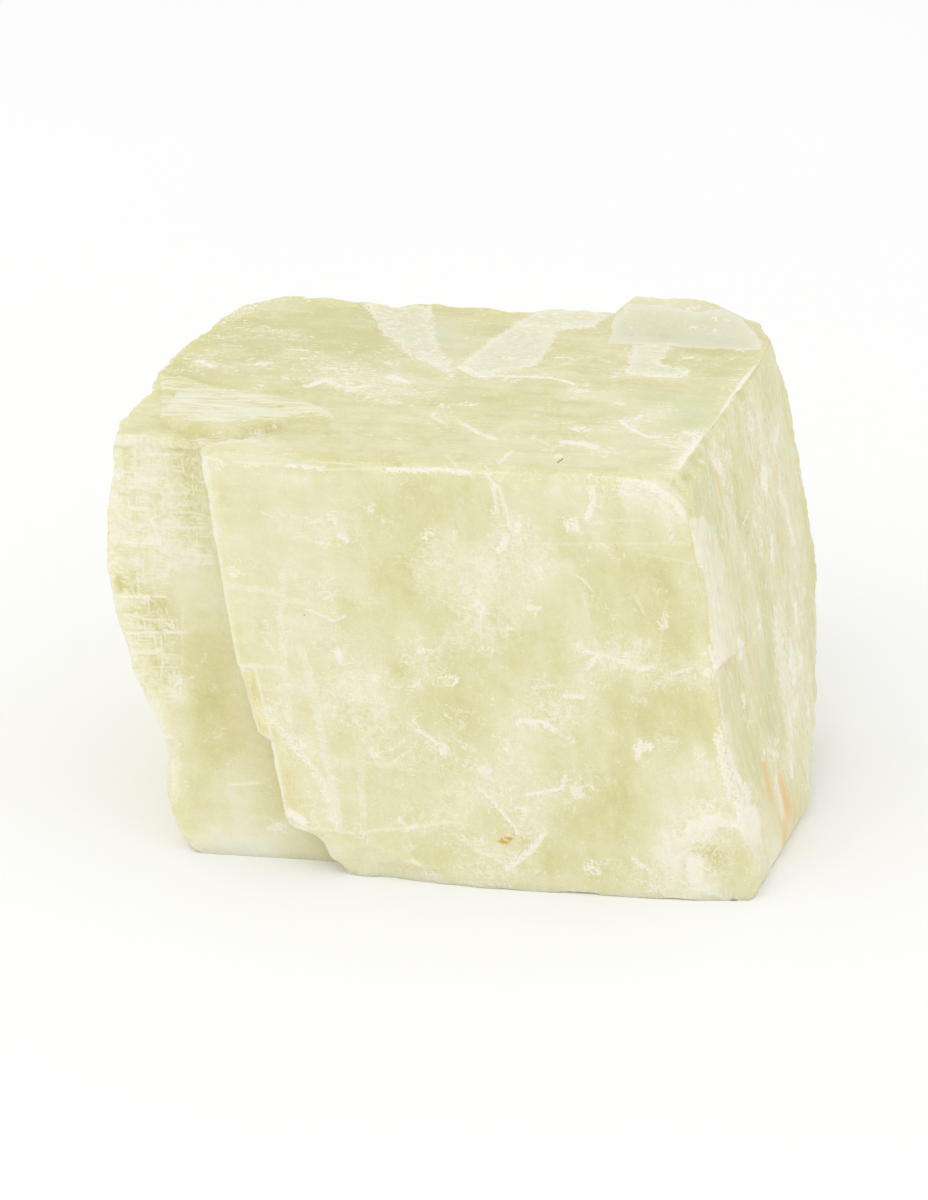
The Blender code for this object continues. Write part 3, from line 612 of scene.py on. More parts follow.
def box_surface(lines):
    """The six faces of a box as one closed grid: every face is the two-parameter grid of
    the lines across it, and faces share the points of their common edges. Returns the
    places and the four-cornered faces."""
    counts = [len(numbers) for numbers in lines]
    corners = []
    for axis in range(3):
        first, second = [other for other in range(3) if other != axis]
        p, q = np.meshgrid(np.arange(counts[first]), np.arange(counts[second]), indexing="ij")
        for end in (0, 1):
            place = np.zeros(p.shape + (3,), np.int64)
            place[..., first], place[..., second] = p, q
            place[..., axis] = end * (counts[axis] - 1)
            ring = [place[:-1, :-1], place[1:, :-1], place[1:, 1:], place[:-1, 1:]]
            if (end == 0) == (axis != 1):
                ring.reverse()
            corners.append(np.stack(ring, -2).reshape(-1, 4, 3))
    corners = np.concatenate(corners)
    code = (corners[..., 0] * 1000 + corners[..., 1]) * 1000 + corners[..., 2]
    unique, index = np.unique(code, return_inverse=True)
    whole = np.stack([unique // 1000000, unique // 1000 % 1000, unique % 1000], -1)
    places = np.stack([lines[axis][whole[:, axis]] for axis in range(3)], -1)
    return places, index.reshape(-1, 4)


def to_metres(crystal):
    """Crystal millimetres as metres of the frame: the corner plus each number times its
    direction."""
    return (CORNER + crystal @ DIRECTIONS) * MM


def broken_block(grid):
    """The block's surface. Each place of the box grid is moved, one direction after
    another: along, to the ends and to the ragged end of the front layer; back, to the
    plan and its breaks, and behind the missing layer, where the lines in front of its
    depth close up just before it; down, under the ledges of the top and up over the
    flake; along again, out to the plate. What lies past a chip's plane goes onto that
    plane. Noise makes each outline ragged. Also returns how much each chip took off."""
    nominal_along, down, nominal_back = grid.T
    ragged = frayed(grid)

    left = np.minimum(along_table(LEFT_END, down), along_table(LEFT_PLAN, nominal_back))
    left = left + 0.25 * clouds(grid, (3, 3, 3), 21, 3) * eased(2, 6, nominal_back)
    for outline, reach in END_BREAKS:
        inside = depth_inside(on_plane(grid[:, 1:]), outline) + 0.5 * ragged
        left = np.minimum(left, reach + 6 * (1 - eased(-0.9, 0.3, inside)))
    right = along_table(RIGHT_END, down)
    level = np.stack([0 * down, down, 0 * down], -1)
    layer = along_table(LAYER_END, down + 0.25 * frayed(level))
    layer = layer + 0.14 * clouds(level, 0.9, 31, 3)
    nominal = [0, *LAYER_LINES, GRID_LEFT]
    missing = np.clip((nominal_along - nominal[1]) / (nominal[2] - nominal[1]), 0, 1)
    depth = along_table(LAYER_DEPTH, down + 0.15 * ragged) + 0.06 * ragged
    targets = [right, layer - WALL / 2, layer + WALL / 2, left]
    along = right
    for low, high, start, end in zip(nominal[:-1], nominal[1:], targets[:-1], targets[1:]):
        share = np.clip((nominal_along - low) / (high - low), 0, 1)
        along = np.where(nominal_along >= low, start + (end - start) * share, along)

    reach = along_table(BACK_PLAN, along)
    face = np.stack([along, down], -1)
    for outline, limit in BACK_BREAKS:
        inside = depth_inside(on_plane(face), outline) + 0.6 * ragged
        reach = np.minimum(reach, limit + 8 * (1 - eased(-0.9, 0.3, inside)))
    # Low terraces: stairs of noise, 0.14 mm a step and 0.7 mm in all.
    terrace = 5 * clouds(np.stack([along, down, 0 * down], -1), (9, 16, 5), 41, 4)
    terrace = 0.175 * (steps(terrace, 0.8) + 2.0).clip(0, 4)
    reach = reach - terrace * eased(2, 6, down) * eased(0, 6, along)
    back = nominal_back / GRID_BACK * reach
    start = depth * missing / (1 - CLOSED_UP)
    back = np.maximum(back, start - CLOSED_UP * (start - back))

    top = np.stack([along, back], -1)
    ragged = frayed(np.stack([along, 0 * down, back], -1))
    sunk = np.zeros_like(down)
    for outline, deep in LEDGES:
        inside = depth_inside(on_plane(top), outline) + 0.35 * ragged
        deep = deep * (0.3 + 0.7 * eased(40, 50, along))
        sunk = np.maximum(sunk, deep * eased(-0.1, 0.25, inside))
    foot = depth_inside(on_plane(top), FLAKE_FOOT) + 0.25 * ragged
    rim = -depth_inside(on_plane(top), FLAKE_RIM)
    lump = np.where(rim <= 0, 1.0, np.clip(foot / np.maximum(foot + rim, 1e-3), 0, 1))
    lump = np.where(foot <= 0, 0.0, lump)
    crown = FLAKE_HEIGHT + 0.12 * clouds(grid, (5, 5, 4), 51, 3)
    sunk = np.where(foot > 0, sunk * (1 - eased(0, 0.4, foot)), sunk)
    down = down + (sunk - crown * lump) * np.clip(1 - down / 12, 0, 1)

    end = np.stack([down, back], -1)
    inside = depth_inside(on_plane(end), PLATE) + 0.2 * ragged
    proud = np.maximum(right - PLATE_FACE, 0) * eased(-0.15, 0.15, inside)
    along = along - proud * np.clip(1 - nominal_along / 5, 0, 1)

    crystal = np.stack([along, down, back], -1)
    real = to_metres(crystal) / MM
    # A place inside the block tells which side of a chip's plane is outward.
    middle = CORNER + np.array([30, TALL / 2, 25]) @ DIRECTIONS
    taken = np.zeros((len(CHIPS), len(real)))
    for number, (*points, rough) in enumerate(CHIPS):
        first, second, third = CORNER + np.array(points) @ DIRECTIONS
        outward = np.cross(second - first, third - first)
        outward /= np.linalg.norm(outward)
        if outward @ (middle - first) > 0:
            outward = -outward
        ripple = rough * clouds(real, 2.2, 60 + number, 4) * 1.6
        ripple = ripple + 0.5 * rough * (steps(ripple, rough) / rough)
        over = (real - first) @ outward - ripple
        taken[number] = np.maximum(over, 0)
        real = real - np.maximum(over, 0)[:, None] * outward
    return real, taken


def roughened(real, grid, taken):
    """Fine relief: three clouds of noise, one for each axis, times an amount that is
    small on the smooth front, top and right end, and larger on chips, back and left, plus
    a slow swell. Both die away to nothing at the foot."""
    crystal = (real - CORNER) @ np.linalg.inv(DIRECTIONS)
    hidden = np.maximum(eased(47, 50, grid[:, 2]), eased(58, 63, grid[:, 0]))
    hidden = np.maximum(hidden, 0.7 * eased(0, 2, taken[LARGE_CHIPS].max(0)))
    crushed = eased(0.02, 0.3, taken.max(0))
    amount = 0.035 + 0.10 * crushed + 0.16 * hidden
    amount = amount * eased(0.0, 1.5, real[:, 2])
    shake = np.stack([clouds(crystal, 2.4, 70 + 9 * axis, 4) for axis in range(3)], -1)
    swell = np.stack([clouds(crystal, 11, 100 + 9 * axis, 2) for axis in range(3)], -1)
    swell = swell * (0.09 * eased(0.0, 4, real[:, 2]))[:, None]
    return real + shake * (2 * amount)[:, None] + swell


NO_STROKE = (9.0, 0.1, 0.0)  # far away, narrow and without strength


def sighted(pixels, face, behind):
    """Places on a face, to a tenth of a millimetre, from positions in the photograph. The
    sight line s through a position leaves the camera's place e and meets the plane, which
    holds the place p and is square to n, at e + s ((p - e) . n) / (s . n)."""
    axis, keep = FACES[face]
    pixels = np.reshape(pixels, (-1, 2)).astype(float)
    turn, eye = CAMERA[:3, :3], CAMERA[:3, 3] / MM
    across, up = pixels[:, 0] - PICTURE[0] / 2, PICTURE[1] / 2 - pixels[:, 1]
    sight = np.stack([across, up, np.full(len(pixels), -FOCAL)], -1) @ turn.T
    square = np.cross(*np.delete(DIRECTIONS, axis, 0))
    reach = (CORNER + behind * DIRECTIONS[axis] - eye) @ square / (sight @ square)
    places = eye + sight * reach[:, None]
    return np.round((places - CORNER) @ np.linalg.inv(DIRECTIONS), 1)[:, keep]


def rows_of(kind, face):
    """The marks of a kind on a face: the line of each and half its width, both in true
    millimetres, and its strength."""
    rows = []
    for plane, (behind, shown_on, scale) in PLANES.items():
        if shown_on == face:
            for width, strength, *pixels in MARKS.get((kind, plane), []):
                line = on_plane(sighted(pixels, face, behind))
                rows.append((line, round(width / scale / 2, 2), strength))
    return rows


def soft_field(places, rows):
    """Soft marks: the sum of strength times exp(-(distance / (0.95 half + 0.15))^2)."""
    total = np.zeros(len(places))
    for points, half, strength in rows:
        far, _ = to_line(places, points)
        total += strength * np.exp(-(far / (0.95 * half + 0.15)) ** 2)
    return total


def crowd_field(places, rows):
    """How near a place is to marks, 0 to 1: 1 - exp(-0.6 times the sum of strength times
    exp(-((distance - half) / 1.7)^2))."""
    total = np.zeros(len(places))
    for points, half, strength in rows:
        far, _ = to_line(places, points)
        total += strength * np.exp(-(np.maximum(far - half, 0) / 1.7) ** 2)
    return 1 - np.exp(-0.6 * total)


def band_field(places, rows):
    """How deep a place lies inside the nearest band, in millimetres, from -2 to 2: the
    most of half the width minus the distance."""
    deep = np.full(len(places), -2.0)
    for points, half, _ in rows:
        far, _ = to_line(places, points)
        deep = np.maximum(deep, half - far)
    return deep.clip(-2, 2)


def stroke_field(places, rows):
    """Crisp marks: the distance straight across the nearest one, its half width, and its
    strength, which falls off within 0.4 mm past its ends and 1.4 mm from its sides."""
    nearest = np.full(len(places), NO_STROKE[0])
    made = np.tile(NO_STROKE, (len(places), 1))
    for points, half, strength in rows:
        far, across = to_line(places, points)
        past = np.sqrt(np.maximum(far ** 2 - across ** 2, 0))
        shown = strength * (1 - eased(0.05, 0.4, past))
        shown = shown * (1 - eased(half + 0.5, half + 1.4, far))
        closer = far - half < nearest
        made[closer] = np.stack([across, np.full(len(places), half), shown], -1)[closer]
        nearest = np.where(closer, far - half, nearest)
    return made


def milkiness_and_painted_light(crystal, faces, milk, crowd):
    """How milky the stone is, about 0 to 1: 0.49, slow and middle clouds, veils drawn out
    along the cleavage, less of it at the back of the top, more where breaks crowd, and
    the marks of the milk table. Painted light and shade go in too: the front recess is
    lifted, and the whole top and the right end are darkened."""
    along, _, back = crystal.T
    tone = 0.49 + 0.09 * clouds(crystal, 9, 201, 4) + 0.24 * clouds(crystal, 2.6, 211, 4)
    upright = clouds(crystal, (0.8, 7, 2), 221, 4) * (1 - 0.5 * eased(6, 18, along))
    level = clouds(crystal, (7, 0.9, 2), 231, 4) * eased(30, 46, along)
    drawn = clouds(crystal, (8, 2, 1.4), 241, 4)
    tone = tone + faces[:, 0] * (0.2 * upright + 0.14 * level)
    tone = tone + faces[:, 1] * (0.24 * drawn - 0.18 * eased(22, 36, back))
    tone = tone - faces[:, 1] * 0.14 * eased(34, 46, along) * eased(14, 24, back)
    tone = tone + faces[:, 2] * 0.3 * clouds(crystal, (2, 9, 0.9), 251, 4)
    # Painted light: the front past along 51, in the recess, is lifted by 0.06 against the
    # shade that falls there. Painted shade: the whole top is lowered by 0.1 and the right end
    # by 0.12.
    tone = tone + faces[:, 0] * 0.06 * eased(51, 53, along) - faces @ (0, 0.1, 0.12)
    return tone + 0.12 * crowd + 0.6 * milk


def write_marks(mesh, grid, crystal, taken):
    """Writes the marks to the mesh as attributes, one number or three for each vertex.
    The marked faces take theirs from the tables. The hidden ones and the large chips are
    crowded in patches of noise, and the crushed chips are bruised by their depth."""
    numbers = {kind: np.zeros(len(grid)) for kind in SOFT + ("crowd",)}
    numbers["band"] = np.full(len(grid), -2.0)
    numbers.update({name: np.full(len(grid), -2.0) for name, _ in PATCHES})
    strokes = {name: np.tile(NO_STROKE, (len(grid), 1)) for name in
               ("lines", "strokes", "more_strokes", "dots")}
    faces = np.zeros((len(grid), 3))
    for number, (face, (axis, keep)) in enumerate(FACES.items()):
        here = grid[:, axis] == 0
        faces[here, number] = 1.0
        places = on_plane(crystal[here][:, keep])
        for kind in SOFT:
            found = soft_field(places, rows_of(kind, face))
            stronger = np.abs(found) > np.abs(numbers[kind][here])
            numbers[kind][here] = np.where(stronger, found, numbers[kind][here])
        white = rows_of("white", face)
        numbers["crowd"][here] = crowd_field(places, white + rows_of("crowd", face))
        numbers["band"][here] = band_field(places, rows_of("band", face))
        for name, rows in (("lines", rows_of("line", face)), ("strokes", white[::2]),
                           ("more_strokes", white[1::2]), ("dots", rows_of("dark", face))):
            strokes[name][here] = stroke_field(places, rows)
        for (name, on_face), (behind, outlines) in PATCHES.items():
            if on_face == face:
                inside = [depth_inside(places, sighted(outline, face, behind))
                          for outline in outlines]
                numbers[name][here] = np.clip(np.max(inside, axis=0), -2, 2)
    hidden = np.maximum(eased(0, 1.5, taken[LARGE_CHIPS].max(0)),
                        (grid == (GRID_LEFT, TALL, GRID_BACK)).any(1))
    patchy = 0.4 + 0.7 * clouds(crystal, (7, 9, 7), 271, 3)
    numbers["crowd"] = np.maximum(numbers["crowd"], hidden * patchy).clip(0, 1)
    numbers["hidden"] = hidden
    numbers["crush"] = eased(0.02, 0.25, taken[CRUSHED_CHIPS].max(0))
    numbers["tone"] = milkiness_and_painted_light(crystal, faces, numbers.pop("milk"), numbers["crowd"])
    numbers["spread"] = clouds(crystal, 6.5, 261, 3)
    for name, values in numbers.items():
        layer = mesh.attributes.new(name, "FLOAT", "POINT")
        layer.data.foreach_set("value", values.astype(np.float32))
    for name, values in {**strokes, "crystal": crystal, "faces": faces}.items():
        layer = mesh.attributes.new(name, "FLOAT_VECTOR", "POINT")
        layer.data.foreach_set("vector", values.astype(np.float32).ravel())


def mesh_object(name, places, faces):
    """An object at the origin that holds these places, in metres, and these faces."""
    mesh = bpy.data.meshes.new(name)
    mesh.vertices.add(len(places))
    mesh.vertices.foreach_set("co", places.astype(np.float32).ravel())
    mesh.loops.add(faces.size)
    mesh.loops.foreach_set("vertex_index", faces.astype(np.int32).ravel())
    mesh.polygons.add(len(faces))
    mesh.polygons.foreach_set("loop_start", np.arange(0, faces.size, 4, dtype=np.int32))
    mesh.update(calc_edges=True)
    made = bpy.data.objects.new(name, mesh)
    bpy.context.scene.collection.objects.link(made)
    return made


def calcite_skin():
    """The dressed block: the box grid, broken, chipped and roughened, inside the box of
    its solid, with its marks as attributes."""
    lines = [
        grid_lines([(0, 0), (4, 10), (47, 100), (LAYER_LINES[0], 12), (LAYER_LINES[1], 8),
                    (53, 6), (GRID_LEFT, 24)]),
        grid_lines([(0, 0), (5, 14), (42, 80), (TALL, 14)]),
        grid_lines([(0, 0), (3, 10), (12, 24), (46, 72), (GRID_BACK, 12)]),
    ]
    grid, quads = box_surface(lines)
    real, taken = broken_block(grid)
    real = roughened(real, grid, taken)
    low, high = (np.array(corner) / MM for corner in CAD_BOX)
    real = np.clip(real, low + SKIN_MARGIN, high - SKIN_MARGIN)
    crystal = (real - CORNER) @ np.linalg.inv(DIRECTIONS)
    skin = mesh_object("calcite_skin", real * MM, quads)
    corners = real[quads]
    volume = np.einsum("ij,ij->i", corners[:, 0], np.cross(corners[:, 1], corners[:, 2])).sum()
    if volume < 0:
        skin.data.flip_normals()
    skin.data.polygons.foreach_set("use_smooth", np.ones(len(quads), bool))
    skin.data.set_sharp_from_angle(angle=SHARP_ANGLE)
    write_marks(skin.data, grid, crystal, taken)
    return skin


# Node tools


class Nodes:
    """Short ways to add nodes to one tree and to join them."""

    def __init__(self, tree):
        self.tree = tree

    def add(self, kind, inputs=None, **settings):
        """A node of this kind, with its settings, and its inputs set or linked."""
        node = self.tree.nodes.new(kind)
        for name, value in settings.items():
            setattr(node, name, value)
        for name, value in (inputs or {}).items():
            self.put(node.inputs[name], value)
        return node

    def put(self, socket, value):
        """Links the value to the socket if it is a socket, or sets it."""
        if isinstance(value, bpy.types.NodeSocket):
            self.tree.links.new(value, socket)
        elif socket.type == "VECTOR" and np.isscalar(value):
            socket.default_value = (value, value, value)
        else:
            socket.default_value = value

    def maths(self, operation, *values, clamp=False):
        """The result of a Math node on these values."""
        node = self.add("ShaderNodeMath", operation=operation, use_clamp=clamp)
        for socket, value in zip(node.inputs, values):
            self.put(socket, value)
        return node.outputs[0]

    def vector(self, operation, *values):
        """The result of a Vector Math node on these values."""
        node = self.add("ShaderNodeVectorMath", operation=operation)
        for socket, value in zip(node.inputs, values):
            self.put(socket, value)
        return node.outputs[0]

    def chain(self, operation, first, *values):
        """One Math node after another, each on the last result and the next value."""
        for value in values:
            first = self.maths(operation, first, value)
        return first

    def total(self, *values):
        """The sum of the values."""
        return self.chain("ADD", *values)

    def most(self, *values):
        """The largest of the values."""
        return self.chain("MAXIMUM", *values)

    def times(self, *values):
        """The product of the values."""
        return self.chain("MULTIPLY", *values)

    def swing(self, value, amount, middle=0.5):
        """How far a value is from its middle, times an amount."""
        return self.times(self.maths("SUBTRACT", value, middle), amount)

    def reading(self, value, start, end, low=0.0, high=1.0):
        """Low below start, high above end, and eased between them."""
        node = self.add("ShaderNodeMapRange", {"Value": value, "From Min": start,
                        "From Max": end, "To Min": low, "To Max": high},
                        interpolation_type="SMOOTHSTEP")
        return node.outputs[0]

    def noise(self, place, scale, detail=3.0, roughness=0.55, distortion=0.0):
        """Noise from 0 to 1 at a place, with this many features to a unit."""
        return self.add("ShaderNodeTexNoise", {"Vector": place, "Scale": scale,
                        "Detail": detail, "Roughness": roughness,
                        "Distortion": distortion}).outputs["Fac"]

    def attribute(self, name, output="Fac"):
        """What the mesh holds under this name."""
        return self.add("ShaderNodeAttribute", attribute_name=name).outputs[output]

    def mixed(self, amount, low, high):
        """The blend of two colours by an amount."""
        node = self.add("ShaderNodeMix", data_type="RGBA")
        self.put(node.inputs["Factor"], amount)
        self.put(node.inputs["A"], low)
        self.put(node.inputs["B"], high)
        return node.outputs["Result"]


def node_group(name, inputs, outputs):
    """An empty shader group with named sockets, given as (name, kind, value), and its
    start and end."""
    tree = bpy.data.node_groups.new(name, "ShaderNodeTree")
    for label, kind, value in inputs:
        socket = tree.interface.new_socket(label, in_out="INPUT", socket_type=kind)
        if value is not None:
            socket.default_value = value
    for label, kind in outputs:
        tree.interface.new_socket(label, in_out="OUTPUT", socket_type=kind)
    nodes = Nodes(tree)
    start, end = nodes.add("NodeGroupInput"), nodes.add("NodeGroupOutput")
    return tree, nodes, start.outputs, end.inputs


def use_group(nodes, tree, **inputs):
    """A group placed in a tree, with its inputs set or linked. Returns its outputs."""
    node = nodes.add("ShaderNodeGroup", node_tree=tree)
    for name, value in inputs.items():
        nodes.put(node.inputs[name.replace("_", " ")], value)
    return node.outputs


REAL, PLACE = "NodeSocketFloat", "NodeSocketVector"
GRAIN_MIDDLE = 0.56  # of the larger of two noises


def stroke_group():
    """A crisp mark: its strength where the distance across it, shaken by the grain, is
    less than its half width, easing off from 0.4 to 1.3 of it."""
    tree, nodes, inside, out = node_group(
        "stroke", [("Line", PLACE, None), ("Grain", REAL, 0.5), ("Shake", REAL, 0.5)],
        [("Mark", REAL)])
    parts = nodes.add("ShaderNodeSeparateXYZ", {"Vector": inside["Line"]}).outputs
    wobble = nodes.maths("SUBTRACT", inside["Grain"], 0.55)
    across = nodes.maths("MULTIPLY_ADD", wobble, inside["Shake"], parts["X"])
    share = nodes.maths("DIVIDE", nodes.maths("ABSOLUTE", across),
                        nodes.maths("ADD", parts["Y"], 0.04))
    body = nodes.reading(share, 0.4, 1.3, 1.0, 0.0)
    nodes.put(out["Mark"], nodes.times(body, parts["Z"]))
    return tree


def ragged_group():
    """A mark made ragged: the mark plus the grain's swing times an amount, where the sum
    passes a limit, never past 2.5 times the mark."""
    tree, nodes, inside, out = node_group(
        "ragged",
        [("Mark", REAL, 0.0), ("Grain", REAL, 0.5), ("Amount", REAL, 1.7),
         ("Limit", REAL, 0.3), ("Softness", REAL, 0.45)],
        [("Mask", REAL)])
    swing = nodes.swing(inside["Grain"], inside["Amount"], GRAIN_MIDDLE)
    over = nodes.maths("SUBTRACT", nodes.total(inside["Mark"], swing), inside["Limit"])
    cut = nodes.maths("DIVIDE", over, inside["Softness"], clamp=True)
    most = nodes.maths("MULTIPLY", inside["Mark"], 2.5, clamp=True)
    nodes.put(out["Mask"], nodes.times(cut, most))
    return tree


def chips_group():
    """Separate small flakes: round a scattered point, a bent distance less than a random
    size, which grows where marks crowd. Each is ragged and solid to a random degree."""
    tree, nodes, inside, out = node_group(
        "chips",
        [("Place", PLACE, None), ("Bend", PLACE, None), ("Scale", REAL, 0.5),
         ("Crowd", REAL, 0.0), ("Grain", REAL, 0.5), ("Size", REAL, 0.34)],
        [("Mask", REAL)])
    bent = nodes.vector("ADD", inside["Place"], inside["Bend"])
    cells = nodes.add("ShaderNodeTexVoronoi",
                      {"Vector": bent, "Scale": inside["Scale"]}).outputs
    chance = nodes.add("ShaderNodeSeparateXYZ", {"Vector": cells["Color"]}).outputs
    size = nodes.times(nodes.maths("POWER", chance["X"], 2.5), inside["Size"])
    size = nodes.total(size, nodes.maths("MULTIPLY_ADD", inside["Crowd"], 0.2, -0.06),
                       nodes.swing(inside["Grain"], 0.9, GRAIN_MIDDLE))
    over = nodes.maths("SUBTRACT", size, cells["Distance"])
    cut = nodes.maths("DIVIDE", over, 0.09, clamp=True)
    solid = nodes.reading(chance["Y"], 0.0, 1.0, 0.35, 1.0)
    nodes.put(out["Mask"], nodes.times(cut, solid))
    return tree


def ladder_group():
    """Cleavage seen inside the stone: thin bright lines across one direction, a spacing
    apart, in pieces as long as the reach, of which noise shows some."""
    tree, nodes, inside, out = node_group(
        "ladder",
        [("Height", REAL, 0.0), ("Run", REAL, 0.0), ("Wobble", REAL, 0.0),
         ("Spacing", REAL, 1.0), ("Width", REAL, 0.12), ("Reach", REAL, 3.0),
         ("Cover", REAL, 0.5)],
        [("Mask", REAL)])
    height = nodes.maths("MULTIPLY_ADD", inside["Wobble"], 0.5, inside["Height"])
    row = nodes.maths("DIVIDE", height, inside["Spacing"])
    whole = nodes.maths("FLOOR", row)
    part = nodes.maths("SUBTRACT", row, whole)
    away = nodes.times(nodes.maths("ABSOLUTE", nodes.maths("SUBTRACT", part, 0.5)),
                       inside["Spacing"])
    line = nodes.reading(away, 0.0, inside["Width"], 1.0, 0.0)
    run = nodes.maths("DIVIDE", inside["Run"], inside["Reach"])
    where = nodes.add("ShaderNodeCombineXYZ", {
        "X": nodes.maths("MULTIPLY_ADD", whole, 7.31, run),
        "Y": nodes.times(whole, 3.7), "Z": 0.0}).outputs[0]
    pieces = nodes.noise(where, 1.0, 1.0, 0.7)
    over = nodes.maths("SUBTRACT", nodes.total(pieces, inside["Cover"]), 1.0)
    shown = nodes.maths("DIVIDE", over, 0.08, clamp=True)
    nodes.put(out["Mask"], nodes.times(line, shown))
    return tree


def patch_group():
    """A patch with a ragged border: 1 where the depth inside its outline, in
    millimetres, moved by the grain, passes 0. The rim fades over a millimetre inward."""
    tree, nodes, inside, out = node_group(
        "patch",
        [("Depth", REAL, 0.0), ("Grain", REAL, 0.5), ("Shake", REAL, 2.0)],
        [("Mask", REAL), ("Rim", REAL)])
    moved = nodes.total(nodes.swing(inside["Grain"], inside["Shake"], GRAIN_MIDDLE),
                        inside["Depth"])
    mask = nodes.reading(moved, -0.08, 0.12)
    nodes.put(out["Mask"], mask)
    nodes.put(out["Rim"], nodes.times(mask, nodes.reading(moved, 0.1, 1.4, 1.0, 0.0)))
    return tree


# The materials

# The stone's colour from clear to milky, each at its milkiness.
STONE = [(0.0, (0.650, 0.612, 0.295)), (0.28, (0.722, 0.686, 0.372)),
         (0.52, (0.780, 0.748, 0.472)), (0.78, (0.830, 0.800, 0.572)),
         (1.0, (0.870, 0.845, 0.685))]
GREEN = (0.60, 0.70, 0.43, 1)
BLUISH = (0.785, 0.792, 0.695, 1)
BROKEN_WHITE = (0.925, 0.885, 0.775, 1)
RUST_AND_SHADOW_TINT = (0.85, 0.66, 0.36, 1)
OCHRE, PALE_OCHRE = (0.64, 0.42, 0.03, 1), (0.80, 0.56, 0.22, 1)
DIRT = (0.22, 0.16, 0.09, 1)
FLOOR_TONES = (0.955, 0.955, 0.952, 1), (0.965, 0.965, 0.962, 1)


